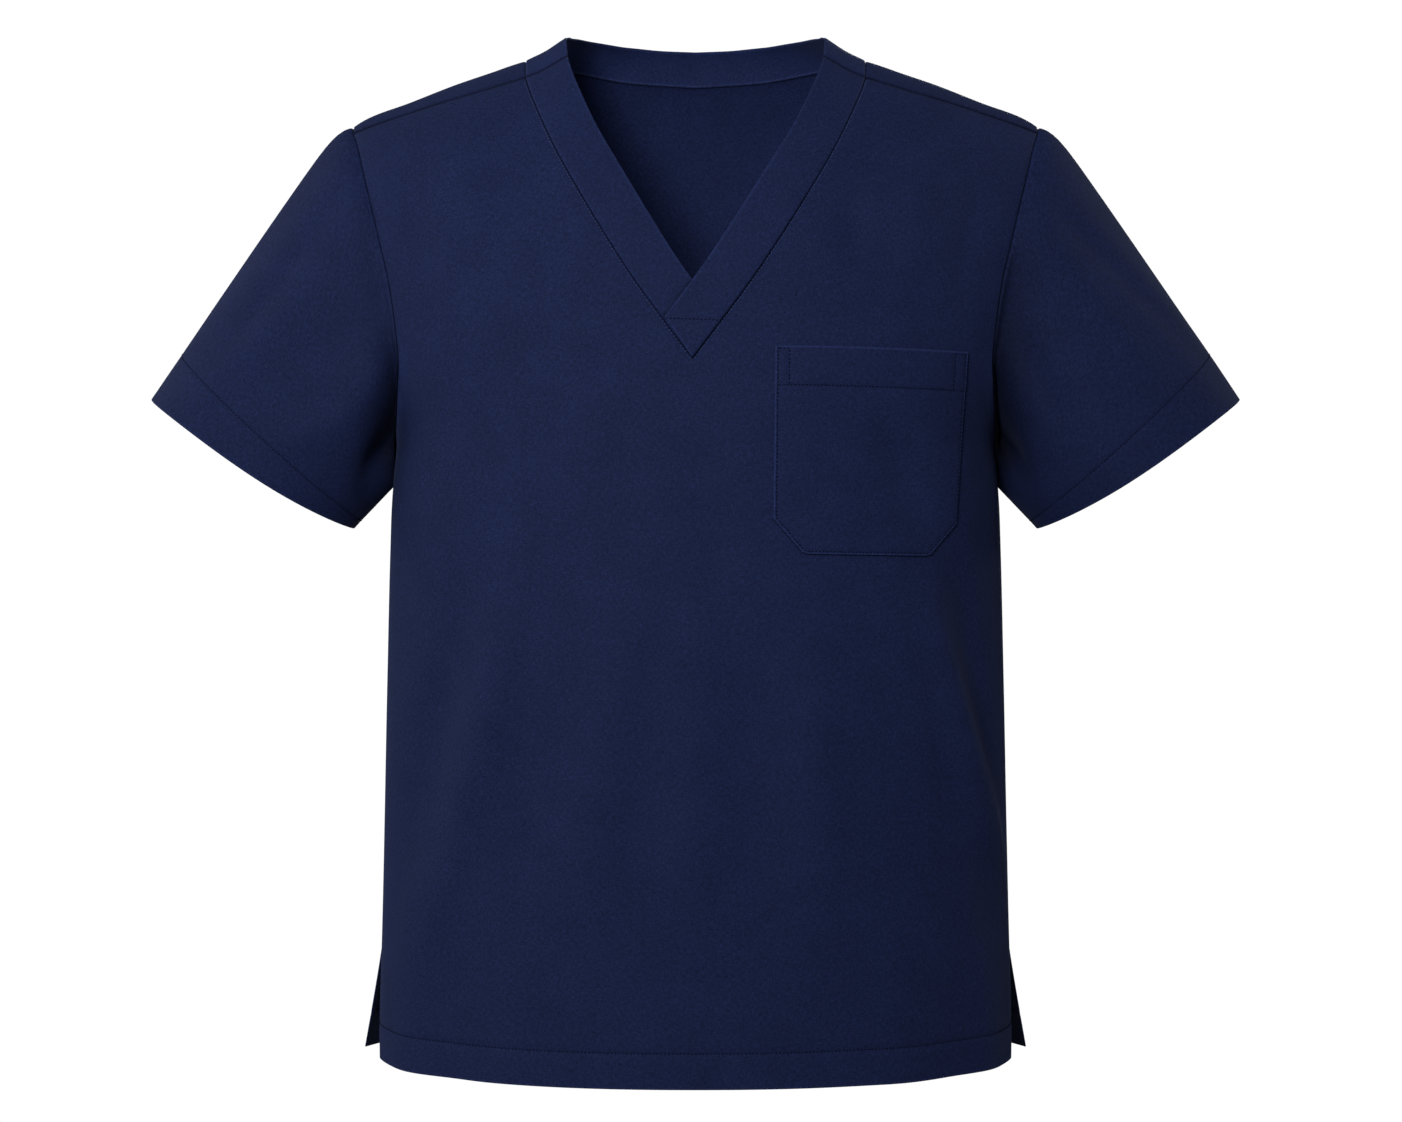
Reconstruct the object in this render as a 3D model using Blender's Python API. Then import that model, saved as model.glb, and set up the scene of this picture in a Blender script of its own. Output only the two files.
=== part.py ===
"""A V-neck scrub top in light cloth, hollow and filled out as if it were worn.

Metres, +Z up. The front faces -Y and the wearer's left is +X. The origin is between
the shoulders at the height of the neck, where a wearer holds the top up.

Every panel is cut from one torso form. A point of that form is found from two angles:
"turn" runs round the body from 0 at the centre line to 90 degrees at the side seam, and
"climb" runs up it from 0 at the chest to 90 degrees on the ridge of the shoulder.
"""
import math

import bmesh
import bpy
import numpy as np

# Driving sizes
HEM_HEIGHT = -0.713
VENT_TOP_HEIGHT = -0.630
UNDERARM_HEIGHT = -0.288
CHEST_HEIGHT = -0.360
SHOULDER_LINE_DEPTH = 0.003
SECTION_SQUARENESS = 2.2
CLOTH_THICKNESS = 0.0012
HEM_FOLD_THICKNESS = 0.0024
BAND_THICKNESS = 0.0016
BAND_LIFT = 0.0004
BAND_OVER_LIFT = 0.0020
BAND_UNDER_LIFT = -0.0001
BAND_CROSSING = 0.35
BACK_BAND_STAND = 0.012
BACK_BAND_RISE = 0.0024
BACK_BAND_STAND_START = 0.15
BACK_BAND_STAND_RUN = 0.6
UNDERARM_CLEARANCE = 0.0006
SEAM_GAP = 0.0003
SLOPE_STEP = 0.0002
FORM_ROUNDS = 12
SHARP_EDGE = math.radians(50)
SIDE_PULL = 4
HEM_DEPTH = 0.0245
VENT_FRONT_TURN = math.radians(79.5)
VENT_BACK_TURN = math.radians(85.0)
VENT_FLARE = 0.0135
VENT_CURVE = 1.15
VENT_FLARE_POWER = 7
VEE_OFFSET = -0.002

FRONT = -1
BACK = 1


def table(columns, rows):
    """A table as one array for each named column."""
    values = np.array(rows, dtype=float)
    return {name: values[:, index] for index, name in enumerate(columns)}


# Torso sections from hem to neck: half width at the side seam, and depth front and back.
TORSO = table(
    ("height", "half_width", "front_depth", "back_depth"),
    (
        (-0.713, 0.2225, 0.1340, 0.1300),
        (-0.630, 0.2200, 0.1335, 0.1300),
        (-0.450, 0.2162, 0.1330, 0.1310),
        (-0.360, 0.2141, 0.1330, 0.1310),
        (-0.330, 0.2131, 0.1330, 0.1310),
        (-0.305, 0.2113, 0.1330, 0.1310),
        (-0.288, 0.2098, 0.1330, 0.1310),
        (-0.265, 0.2140, 0.1330, 0.1310),
        (-0.240, 0.2240, 0.1330, 0.1310),
        (-0.210, 0.2365, 0.1330, 0.1310),
        (-0.180, 0.2465, 0.1330, 0.1310),
        (-0.150, 0.2540, 0.1330, 0.1310),
        (-0.120, 0.2592, 0.1330, 0.1310),
        (-0.060, 0.2640, 0.1330, 0.1310),
        (0.020, 0.2660, 0.1330, 0.1310),
    ),
)

# The ridge of the shoulders, from the centre line out to the sleeve.
RIDGE = table(
    ("across", "height"),
    (
        (0.0000, 0.0125),
        (0.0500, 0.0108),
        (0.0750, 0.0078),
        (0.0880, 0.0018),
        (0.1060, -0.0097),
        (0.1380, -0.0220),
        (0.1700, -0.0330),
        (0.2010, -0.0450),
        (0.2330, -0.0570),
        (0.2435, -0.0630),
        (0.2700, -0.0780),
    ),
)

# Where the back's shoulder strips start, as shares of the armhole and of the neck seam.
STRIP_ARM_SHARE = 0.875
STRIP_NECK_SHARE = 0.4
FRONT_NECK_REACH = 0.5
BACK_NECK_REACH = 0.42

# How the upper back rounds over to the ridge: a low power keeps it full.
UPPER_BACK = table(
    ("across", "power"),
    ((0.000, 0.47), (0.088, 0.62), (0.120, 0.76), (0.170, 0.92), (0.250, 1.00)),
)
BACK_RISE_POWER = 1.0 / 1.3

# The armhole from the underarm up to the shoulder seam, in degrees.
ARMHOLE = table(
    ("step", "front_climb", "front_turn", "back_climb", "back_turn"),
    (
        (0, 13.35, 90.0, 8.55, 90.0),
        (1, 14.3, 85.8, 9.6, 87.0),
        (2, 16.4, 79.0, 12.0, 81.5),
        (3, 20.0, 68.7, 16.5, 73.0),
        (4, 25.5, 60.5, 25.0, 64.3),
        (5, 34.5, 56.6, 37.0, 61.2),
        (6, 46.0, 57.5, 55.0, 62.2),
        (7, 61.0, 60.8, 79.0, 65.6),
        (8, 77.5, 64.6, 102.5, 64.6),
    ),
)

# The shoulder seam lies forward of the ridge, from the neckband out to the armhole.
SHOULDER_SEAM = table(
    ("across", "height"),
    ((0.1176, -0.0340), (0.1350, -0.0390), (0.1914, -0.0539), (0.2402, -0.0682)),
)

# The V neckline from the shoulder seam down: the band's outer seam and its inner edge.
NECKLINE = table(
    ("outer_across", "outer_height", "inner_across", "inner_height"),
    (
        (0.1176, -0.0340, 0.0883, -0.0205),
        (0.1117, -0.0508, 0.0812, -0.0410),
        (0.0965, -0.0850, 0.0665, -0.0735),
        (0.0785, -0.1180, 0.0490, -0.1040),
        (0.0560, -0.1555, 0.0275, -0.1400),
        (0.0345, -0.1882, 0.0080, -0.1710),
        (0.0000, -0.2350, -0.0184, -0.2077),
    ),
)

# The back neckband from the shoulder ridge to the centre back: outer seam and inner edge.
BACK_NECK = table(
    ("outer_turn", "outer_climb", "inner_turn", "inner_climb"),
    (
        (24.3, 89.7, 17.8, 93.3),
        (20.6, 78.6, 16.3, 87.9),
        (14.8, 68.8, 13.0, 81.4),
        (8.6, 65.4, 5.9, 77.3),
        (0.0, 63.9, 0.0, 76.3),
    ),
)

# Soft folds that hang in the lower part of each panel. Turn is positive on the wearer's
# left; a fold fades out from the hem up to its top.
PANEL_FOLDS = table(
    ("side", "turn", "spread", "top", "depth"),
    (
        (FRONT, 63.0, 6.0, -0.430, 0.0034),
        (FRONT, 50.0, 5.5, -0.520, -0.0026),
        (FRONT, 36.0, 6.5, -0.560, 0.0020),
        (FRONT, -60.0, 7.0, -0.500, 0.0026),
        (FRONT, -45.0, 6.0, -0.580, -0.0018),
        (BACK, 60.0, 7.0, -0.400, 0.0036),
        (BACK, 40.0, 8.0, -0.480, -0.0028),
        (BACK, 14.0, 9.0, -0.520, 0.0026),
        (BACK, -22.0, 8.0, -0.450, -0.0030),
        (BACK, -52.0, 8.0, -0.420, 0.0036),
    ),
)

# Sleeve hem ring: its centre, the direction from the underarm to the top, and its sizes.
SLEEVE_HEM_CENTRE = (0.3119, 0.0, -0.3000)
SLEEVE_HEM_TILT = math.radians(32.7)
SLEEVE_HEM_HALF_HEIGHT = 0.0841
SLEEVE_HEM_HALF_DEPTH = 0.0600
SLEEVE_HEM_BOW = 0.0034
SLEEVE_HEM_BOW_LOW = 0.9
SLEEVE_CAP_PUFF = 0.0080
SLEEVE_CAP_REACH = 0.035
SLEEVE_UNDERARM_SAG = 0.0245
SLEEVE_SAG_REACH = 0.06
SLEEVE_SAG_LEAN = 0.10
SLEEVE_IN_LINE = 0.75
SLEEVE_FIRST_RINGS = (0.0, 0.03, 0.08)

# Soft folds in the sleeve's front and back, in degrees round from the top.
SLEEVE_FOLDS = table(
    ("around", "spread", "start", "end", "depth"),
    (
        (112.0, 10.0, 0.00, 0.80, 0.0022),
        (148.0, 15.0, 0.00, 0.75, -0.0105),
        (214.0, 14.0, 0.00, 0.70, -0.0080),
        (248.0, 10.0, 0.00, 0.80, 0.0024),
    ),
)
SLEEVE_FOLD_ONSET = 0.55

# The chest pocket's corners as seen from the front, and how deep its corners are cut off.
POCKET_CORNERS = table(
    ("across", "height"),
    ((0.0519, -0.2265), (0.1828, -0.2271), (0.1748, -0.3655), (0.0504, -0.3634)),
)
POCKET_CHAMFER_WIDTH = 0.0200
POCKET_CHAMFER_HEIGHT = 0.0225
POCKET_HEADER = 0.0260
POCKET_HEADER_FOLD = 0.0008
POCKET_CLEARANCE = 0.0007

# Grid divisions
FRONT_NECK_COLUMNS = 11
BACK_NECK_COLUMNS = 9
SHOULDER_COLUMNS = 9
FRONT_ARM_ROWS = 15
BACK_ARM_ROWS = 12
BACK_STRIP_ROWS = 4
SLEEVE_ALONG = 8
BAND_ACROSS = 4
POCKET_MIDDLE_COLUMNS = 8
POCKET_DOWN = 9
PANEL_LEVELS = (
    -0.713, -0.6885, -0.660, -0.630, -0.580, -0.530, -0.480,
    -0.430, -0.395, -0.370, -0.350, -0.330, -0.310, -0.288,
)

NAVY = (0.0105, 0.0152, 0.0512, 1.0)
CLOTH_ROUGHNESS = 0.72


def smooth(at, places, values):
    """A smooth curve through the points (places, values), read where asked."""
    at = np.asarray(at, dtype=float)
    slopes = np.gradient(values, places)
    left = np.clip(np.searchsorted(places, at) - 1, 0, len(places) - 2)
    width = places[left + 1] - places[left]
    f = np.clip((at - places[left]) / width, 0.0, 1.0)
    ends = (1 + 2 * f) * (1 - f) ** 2 * values[left] + f * f * (3 - 2 * f) * values[left + 1]
    bends = f * (1 - f) ** 2 * slopes[left] + f * f * (f - 1) * slopes[left + 1]
    return ends + width * bends


def ease(value):
    """A soft step from 0 to 1."""
    value = np.clip(value, 0.0, 1.0)
    return value * value * (3.0 - 2.0 * value)


def half_width(height):
    """Half the torso's width at a height."""
    return smooth(height, TORSO["height"], TORSO["half_width"])


def depth(side, height):
    """The torso's depth at a height, in front of or behind the shoulder line."""
    front = smooth(height, TORSO["height"], TORSO["front_depth"])
    back = smooth(height, TORSO["height"], TORSO["back_depth"])
    return np.where(side < 0, front, back)


def ridge_height(across):
    """The height of the shoulder ridge at a distance from the centre line."""
    return smooth(np.abs(across), RIDGE["across"], RIDGE["height"])


def rise_power(side):
    """The power that shapes how the height grows with climb."""
    return np.where(side < 0, 1.0, BACK_RISE_POWER)


def lean_power(side, across):
    """The power that shapes how the depth shrinks with climb."""
    back = smooth(np.abs(across), UPPER_BACK["across"], UPPER_BACK["power"])
    return np.where(side < 0, 1.0, back)


def widthwise(turn):
    """The share of the half width at a turn, with the section's squareness."""
    return np.sign(turn) * np.abs(np.sin(turn)) ** (2.0 / SECTION_SQUARENESS)


def depthwise(turn):
    """The share of the depth at a turn; past the side seam it runs on to the other side."""
    return np.sign(np.cos(turn)) * np.abs(np.cos(turn)) ** (2.0 / SECTION_SQUARENESS)


def climb_at(side, across, height):
    """The climb angle of the torso form at a place seen from the front or the back."""
    span = ridge_height(across) - CHEST_HEIGHT
    share = np.clip((height - CHEST_HEIGHT) / span, 0.0, 1.0)
    return np.arcsin(share ** (1.0 / rise_power(side)))


def turn_at(across, height):
    """The turn angle of the torso form at a place seen from the front or the back."""
    share = np.clip(np.abs(across) / half_width(height), 0.0, 1.0)
    return np.sign(across) * np.arcsin(share ** (SECTION_SQUARENESS / 2.0))


def torso_depthwise(side, across, height, turn, climb):
    """The Y of the torso form: the section's depth, leaning in over the shoulder."""
    reach = side * depth(side, height) * depthwise(turn) - SHOULDER_LINE_DEPTH
    return SHOULDER_LINE_DEPTH + reach * np.cos(climb) ** lean_power(side, across)


def torso_at_climb(side, turn, climb):
    """Points of the torso form by turn and climb; past 90 degrees they cross the ridge."""
    turn, climb = np.broadcast_arrays(np.asarray(turn, float), np.asarray(climb, float))
    over = climb > math.pi / 2
    side = np.where(over, -side, side)
    climb = np.where(over, math.pi - climb, climb)
    rise = np.sin(climb) ** rise_power(side)
    across = half_width(CHEST_HEIGHT) * widthwise(turn)
    for _ in range(FORM_ROUNDS):
        height = CHEST_HEIGHT + (ridge_height(across) - CHEST_HEIGHT) * rise
        across = half_width(height) * widthwise(turn)
    fore = torso_depthwise(side, across, height, turn, climb)
    return np.stack([across, fore, height], axis=-1)


def torso_at_height(side, turn, height):
    """Points of the torso form by turn and height, for the part below the armholes."""
    turn, height = np.broadcast_arrays(np.asarray(turn, float), np.asarray(height, float))
    across = half_width(height) * widthwise(turn)
    climb = climb_at(side, across, height)
    fore = torso_depthwise(side, across, height, turn, climb)
    return np.stack([across, fore, height], axis=-1)


def form_outward(form, side, turn, up):
    """Unit normals of the torso form, crossing its slopes along turn and along climb or height."""
    round_slope = form(side, turn + SLOPE_STEP, up) - form(side, turn - SLOPE_STEP, up)
    up_slope = form(side, turn, up + SLOPE_STEP) - form(side, turn, up - SLOPE_STEP)
    normal = -side * np.cross(round_slope, up_slope)
    return normal / np.linalg.norm(normal, axis=-1, keepdims=True)


def tube_outward(grid):
    """Unit normals of a tube's grid of points, crossing its two directions."""
    along = np.gradient(grid, axis=0)
    around = np.roll(grid, -1, axis=1) - np.roll(grid, 1, axis=1)
    normal = np.cross(around, along)
    return normal / np.linalg.norm(normal, axis=2, keepdims=True)


def step_off_edge(edge, inside):
    """Unit steps from an edge toward the row inside it, square to the edge."""
    run = np.gradient(edge, axis=0)
    run /= np.linalg.norm(run, axis=1, keepdims=True)
    step = inside - edge
    step = step - run * np.sum(step * run, axis=1, keepdims=True)
    return step / np.linalg.norm(step, axis=1, keepdims=True)


def pull_in(grid, gap, closed=False, kept=None):
    """The grid with its outer edges drawn inward by half a seam gap."""
    drawn = grid.copy()
    for edge, inside in ((0, 1), (-1, -2)):
        drawn[edge] += step_off_edge(grid[edge], grid[inside]) * gap / 2
        if not closed:
            drawn[:, edge] += step_off_edge(grid[:, edge], grid[:, inside]) * gap / 2
    if kept is not None:
        pull_in_notch(grid, drawn, gap, kept)
    return drawn


def pull_in_notch(grid, drawn, gap, kept):
    """Draw in the edges of the notch that the neck cuts out of a panel's top."""
    rows, columns = np.nonzero(~kept)
    base, left, right = rows.min(), columns.min(), columns.max() + 1
    inner = slice(left, right + 1)
    drawn[base, inner] += step_off_edge(grid[base, inner], grid[base - 1, inner]) * gap / 2
    for column, beside in ((left, left - 1), (right, right + 1)):
        step = step_off_edge(grid[base:, column], grid[base:, beside])
        drawn[base:, column] += step * gap / 2


def grid_cells(rows, columns, closed):
    """The four corners of every cell of a grid, numbered row by row."""
    row, column = np.meshgrid(np.arange(rows - 1), np.arange(columns - (not closed)), indexing="ij")
    start = row * columns
    left = start + column
    right = start + (column + 1) % columns
    return np.stack([left, right, right + columns, left + columns], axis=-1)


def wall_mesh(name, outer, thickness, outward, closed=False, kept=None):
    """A closed wall: the outer grid, the same grid set in by the thickness, and a rim.

    Where a cell isn't kept the wall has no cloth, and the rim follows the cells around it.
    """
    rows, columns = outer.shape[:2]
    thickness = np.broadcast_to(thickness, (rows, columns))[..., None]
    inner = outer - outward * thickness
    points = np.concatenate([outer.reshape(-1, 3), inner.reshape(-1, 3)])
    cells = grid_cells(rows, columns, closed)
    skin = cells.reshape(-1, 4) if kept is None else cells[kept]
    below = rows * columns
    near = skin.ravel()
    far = np.roll(skin, -1, axis=1).ravel()
    on_rim = ~np.isin(near * below + far, far * below + near)
    near, far = near[on_rim], far[on_rim]
    rim = np.stack([far, near, near + below, far + below], axis=1)
    faces = np.concatenate([skin, skin[:, ::-1] + below, rim])
    used, renumbered = np.unique(faces, return_inverse=True)
    mesh = bpy.data.meshes.new(name)
    mesh.from_pydata(points[used].tolist(), [], renumbered.reshape(faces.shape).tolist())
    work = bmesh.new()
    work.from_mesh(mesh)
    bmesh.ops.recalc_face_normals(work, faces=work.faces)
    work.to_mesh(mesh)
    work.free()
    mesh.shade_smooth()
    mesh.set_sharp_from_angle(angle=SHARP_EDGE)
    return mesh


def add_piece(name, mesh, colour=NAVY):
    """Put a mesh into the scene as one named piece with its own cloth material."""
    piece = bpy.data.objects.new(name, mesh)
    bpy.context.scene.collection.objects.link(piece)
    material = bpy.data.materials.new(name + "_cloth")
    material.use_nodes = True
    shader = material.node_tree.nodes["Principled BSDF"]
    shader.inputs["Base Color"].default_value = colour
    shader.inputs["Roughness"].default_value = CLOTH_ROUGHNESS
    shader.inputs["Metallic"].default_value = 0.0
    mesh.materials.append(material)
    return piece


def armhole_angles(side, share):
    """Turn and climb of the armhole, from the underarm at 0 to the shoulder seam at 1."""
    name = "front" if side < 0 else "back"
    step = np.asarray(share) * ARMHOLE["step"][-1]
    climb = smooth(step, ARMHOLE["step"], ARMHOLE[name + "_climb"])
    turn = smooth(step, ARMHOLE["step"], ARMHOLE[name + "_turn"])
    return np.radians(turn), np.radians(climb)


def shoulder_seam(share):
    """The shoulder seam as seen from the front, from the neckband at 0 to the armhole at 1."""
    across = SHOULDER_SEAM["across"][0] + share * np.ptp(SHOULDER_SEAM["across"])
    return across, smooth(across, SHOULDER_SEAM["across"], SHOULDER_SEAM["height"])


def neckline(edge, share, hand):
    """One edge of the V band as seen from the front, from the shoulder seam down."""
    steps = np.arange(len(NECKLINE["outer_across"]), dtype=float)
    step = np.asarray(share) * steps[-1]
    across = smooth(step, steps, NECKLINE[edge + "_across"])
    height = smooth(step, steps, NECKLINE[edge + "_height"])
    return hand * across + VEE_OFFSET * ease(share), height


def back_neck(edge, share):
    """Turn and climb of one edge of the back band, from the shoulder seam to the centre."""
    first_turn, first_climb = front_neck(edge, np.array(0.0), 1)
    turns = np.append(first_turn, np.radians(BACK_NECK[edge + "_turn"]))
    climbs = np.append(math.pi - first_climb, np.radians(BACK_NECK[edge + "_climb"]))
    steps = np.arange(len(turns), dtype=float)
    step = np.asarray(share) * steps[-1]
    return smooth(step, steps, turns), smooth(step, steps, climbs)


def front_neck(edge, share, hand):
    """Turn and climb of one edge of the V band, from the shoulder seam down."""
    across, height = neckline(edge, share, hand)
    return turn_at(across, height), climb_at(FRONT, across, height)


def blend_patch(bottom, top, left, right):
    """A patch ruled from bottom to top, drawn onto its side edges near them."""
    u = np.linspace(0, 1, len(bottom))[None, :, None]
    v = np.linspace(0, 1, len(left))[:, None, None]
    ruled = (1 - v) * bottom[None] + v * top[None]
    to_left = left[:, None] - ruled[:, :1]
    to_right = right[:, None] - ruled[:, -1:]
    return ruled + (1 - u) ** SIDE_PULL * to_left + u ** SIDE_PULL * to_right


def arm_edge(side, share):
    """The armhole on the wearer's left as an edge of a patch in turn and climb."""
    return np.stack(armhole_angles(side, share), axis=-1)


def shoulder_edge(side):
    """The shoulder seam on the wearer's left in turn and climb, from neck to armhole."""
    across, height = shoulder_seam(np.linspace(0, 1, SHOULDER_COLUMNS + 1))
    climb = climb_at(FRONT, across, height)
    edge = np.stack([turn_at(across, height), climb if side == FRONT else math.pi - climb], axis=-1)
    edge[-1] = arm_edge(side, np.array(1.0))
    return edge


def mirrored(edge):
    """The same edge in turn and climb on the wearer's right."""
    return edge * np.array([-1.0, 1.0])


def both_sides(half, other=None):
    """An edge across a panel, from the wearer's right side to the left, out of its half."""
    right = mirrored(half if other is None else other)
    return np.concatenate([right[:0:-1], half])


def vent_share(height):
    """How far below the top of the side vents a height lies, 0 there and 1 at the hem."""
    return np.clip((VENT_TOP_HEIGHT - height) / (VENT_TOP_HEIGHT - HEM_HEIGHT), 0, 1)


def column_positions(neck_reach, neck_columns):
    """Where a panel's columns stand, from -1 at one side to 1 at the other."""
    neck = np.linspace(0, neck_reach, neck_columns + 1)
    shoulder = np.linspace(neck_reach, 1, SHOULDER_COLUMNS + 1)[1:]
    half = np.concatenate([neck, shoulder])
    return np.concatenate([-half[:0:-1], half])


def lower_panel(side, position):
    """Points, normals and turns of a panel from its hem up to the underarm."""
    height = np.array(PANEL_LEVELS)[:, None]
    edge_turn = VENT_FRONT_TURN if side == FRONT else VENT_BACK_TURN
    side_turn = math.pi / 2 + (edge_turn - math.pi / 2) * vent_share(height) ** VENT_CURVE
    turn = position * side_turn
    grid = torso_at_height(side, turn, height)
    outward = form_outward(torso_at_height, side, turn, height)
    if side == BACK:
        flare = VENT_FLARE * vent_share(height) ** VENT_CURVE * np.abs(position) ** VENT_FLARE_POWER
        grid[..., 0] += np.sign(position) * flare
    return grid, outward, turn


def panel_part(side, angles):
    """Points, normals and turns of a part of a panel given by turn and climb."""
    turn, climb = angles[..., 0], angles[..., 1]
    return torso_at_climb(side, turn, climb), form_outward(torso_at_climb, side, turn, climb), turn


def underarm_line(side, lower):
    """The lower part's top row in turn and climb, from armhole to armhole."""
    climb = climb_at(side, lower[0][-1, :, 0], UNDERARM_HEIGHT)
    line = np.stack([lower[2][-1], climb], axis=-1)
    line[-1] = arm_edge(side, np.array(0.0))
    line[0] = mirrored(line[-1])
    return line


def front_panel():
    """The front's outer face with its normals and turns, and the cells that it keeps."""
    lower = lower_panel(FRONT, column_positions(FRONT_NECK_REACH, FRONT_NECK_COLUMNS))
    share = np.linspace(1, 0, FRONT_NECK_COLUMNS + 1)
    neck_left = np.stack(front_neck("outer", share, 1), axis=-1)
    neck_right = mirrored(np.stack(front_neck("outer", share, -1), axis=-1))
    seam = shoulder_edge(FRONT)[1:]
    top = both_sides(np.concatenate([neck_left, seam]), np.concatenate([neck_right, seam]))
    arm = arm_edge(FRONT, np.linspace(0, 1, FRONT_ARM_ROWS))
    angles = blend_patch(underarm_line(FRONT, lower), top, mirrored(arm), arm)[1:]
    upper = panel_part(FRONT, angles)
    return [np.concatenate(pair) for pair in zip(lower, upper)], None


def back_panel():
    """The back's outer face with its normals and turns, and the cells that it keeps.

    Its main part ends at the back neck seam. On each side of the neck a strip runs on
    over the shoulder, as far as the shoulder seam.
    """
    position = column_positions(BACK_NECK_REACH, BACK_NECK_COLUMNS)
    lower = lower_panel(BACK, position)
    neck = np.stack(back_neck("outer", np.linspace(1, STRIP_NECK_SHARE, BACK_NECK_COLUMNS + 1)), axis=-1)
    arm = arm_edge(BACK, np.linspace(0, STRIP_ARM_SHARE, BACK_ARM_ROWS))
    along = np.linspace(0, 1, SHOULDER_COLUMNS + 1)[:, None]
    strip_start = (1 - along) * neck[-1] + along * arm[-1]
    top = both_sides(np.concatenate([neck, strip_start[1:]]))
    angles = blend_patch(underarm_line(BACK, lower), top, mirrored(arm), arm)[1:]
    main = panel_part(BACK, angles)

    neck_side = np.stack(back_neck("outer", np.linspace(STRIP_NECK_SHARE, 0, BACK_STRIP_ROWS)), axis=-1)
    arm_side = arm_edge(BACK, np.linspace(STRIP_ARM_SHARE, 1, BACK_STRIP_ROWS))
    left_strip = blend_patch(strip_start, shoulder_edge(BACK), neck_side, arm_side)[1:]
    between = np.linspace(-1, 1, 2 * BACK_NECK_COLUMNS + 1)[1:-1]
    gap = left_strip[:, :1] * np.stack([between, np.ones_like(between)], axis=-1)
    strips = panel_part(BACK, np.concatenate([mirrored(left_strip)[:, ::-1], gap, left_strip], axis=1))

    rows = len(lower[0]) + len(main[0]) + len(strips[0])
    kept = np.ones((rows - 1, len(position) - 1), dtype=bool)
    inside = slice(SHOULDER_COLUMNS, SHOULDER_COLUMNS + 2 * BACK_NECK_COLUMNS)
    kept[1 - BACK_STRIP_ROWS:, inside] = False
    return [np.concatenate(parts) for parts in zip(lower, main, strips)], kept


def panel_folds(side, turn, height):
    """How far the soft hanging folds lift or sink the cloth."""
    lift = np.zeros_like(height)
    for index in np.flatnonzero(PANEL_FOLDS["side"] == side):
        fold = {name: column[index] for name, column in PANEL_FOLDS.items()}
        near = (np.degrees(turn) - fold["turn"]) / fold["spread"]
        fade = ease((fold["top"] - height) / (fold["top"] - HEM_HEIGHT))
        lift += fold["depth"] * np.exp(-near ** 2) * fade
    return lift


def make_panel(name, side):
    """The front or the back: one panel with a thicker folded hem."""
    (grid, outward, turn), kept = front_panel() if side == FRONT else back_panel()
    grid = grid + outward * panel_folds(side, turn, grid[..., 2])[..., None]
    grid = pull_in(grid, SEAM_GAP, kept=kept)
    in_hem = grid[..., 2] < HEM_HEIGHT + HEM_DEPTH - HEM_FOLD_THICKNESS
    thickness = np.where(in_hem, HEM_FOLD_THICKNESS, CLOTH_THICKNESS)
    add_piece(name, wall_mesh(name, grid, thickness, outward, kept=kept))


def armhole_loop():
    """The whole armhole from the shoulder seam round by the front, at the panels' rows.

    Gives its points, the torso's normals there, and how far round each point lies as an
    angle: 0 at the shoulder seam and 180 degrees under the arm.
    """
    front_rows = np.linspace(1, 0, FRONT_ARM_ROWS)
    back_rows = np.append(
        np.linspace(0, STRIP_ARM_SHARE, BACK_ARM_ROWS),
        np.linspace(STRIP_ARM_SHARE, 1, BACK_STRIP_ROWS)[1:],
    )
    points, normals, rounds = [], [], []
    for side, rows in ((FRONT, front_rows), (BACK, back_rows)):
        turn, climb = armhole_angles(side, rows)
        edge = torso_at_climb(side, turn, climb)
        facing = form_outward(torso_at_climb, side, turn, climb)
        length = np.concatenate([[0], np.cumsum(np.linalg.norm(np.diff(edge, axis=0), axis=1))])
        points.append(edge[:-1])
        normals.append(facing[:-1])
        rounds.append(math.pi * (length[:-1] / length[-1] + (side == BACK)))
    return np.concatenate(points), np.concatenate(normals), np.concatenate(rounds)


def sleeve_grid(around, start):
    """The outer face of the wearer's left sleeve, from the armhole down to its hem.

    Straight lines run from the armhole to an oval hem. The cap is puffed out just past
    the seam, the underarm sags, and soft folds run from the armhole down.
    """
    upward = np.array([math.cos(SLEEVE_HEM_TILT), 0.0, math.sin(SLEEVE_HEM_TILT)])
    forward = np.array([0.0, -1.0, 0.0])
    axis = np.array([math.sin(SLEEVE_HEM_TILT), 0.0, -math.cos(SLEEVE_HEM_TILT)])
    topward = np.cos(around)[:, None]
    frontward = np.sin(around)[:, None]
    bow = SLEEVE_HEM_BOW * frontward ** 2 * (1 - SLEEVE_HEM_BOW_LOW * topward)
    hem = np.array(SLEEVE_HEM_CENTRE) + bow * axis
    hem = hem + SLEEVE_HEM_HALF_HEIGHT * topward * upward
    hem = hem + SLEEVE_HEM_HALF_DEPTH * frontward * forward
    length = np.linalg.norm(hem - start, axis=1).mean()
    body = np.linspace(SLEEVE_FIRST_RINGS[-1], 1 - HEM_DEPTH / length, SLEEVE_ALONG)[1:]
    share = np.concatenate([SLEEVE_FIRST_RINGS, body, [1]])[:, None, None]
    grid = (1 - share) * start + share * hem
    topness = ((1 + topward) / 2)[None]
    puff = SLEEVE_CAP_PUFF * topness * (1 - np.exp(-share / SLEEVE_CAP_REACH)) * (1 - share ** 2)
    lift = puff + sleeve_folds(around, share)
    grid = grid + lift * (topward * upward + frontward * forward)[None]
    sag = SLEEVE_UNDERARM_SAG * (1 - topness) ** 2 * (1 - share)
    sag = sag * (1 - np.exp(-share / SLEEVE_SAG_REACH))
    return grid + sag * np.array([SLEEVE_SAG_LEAN, 0.0, -1.0])


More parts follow.
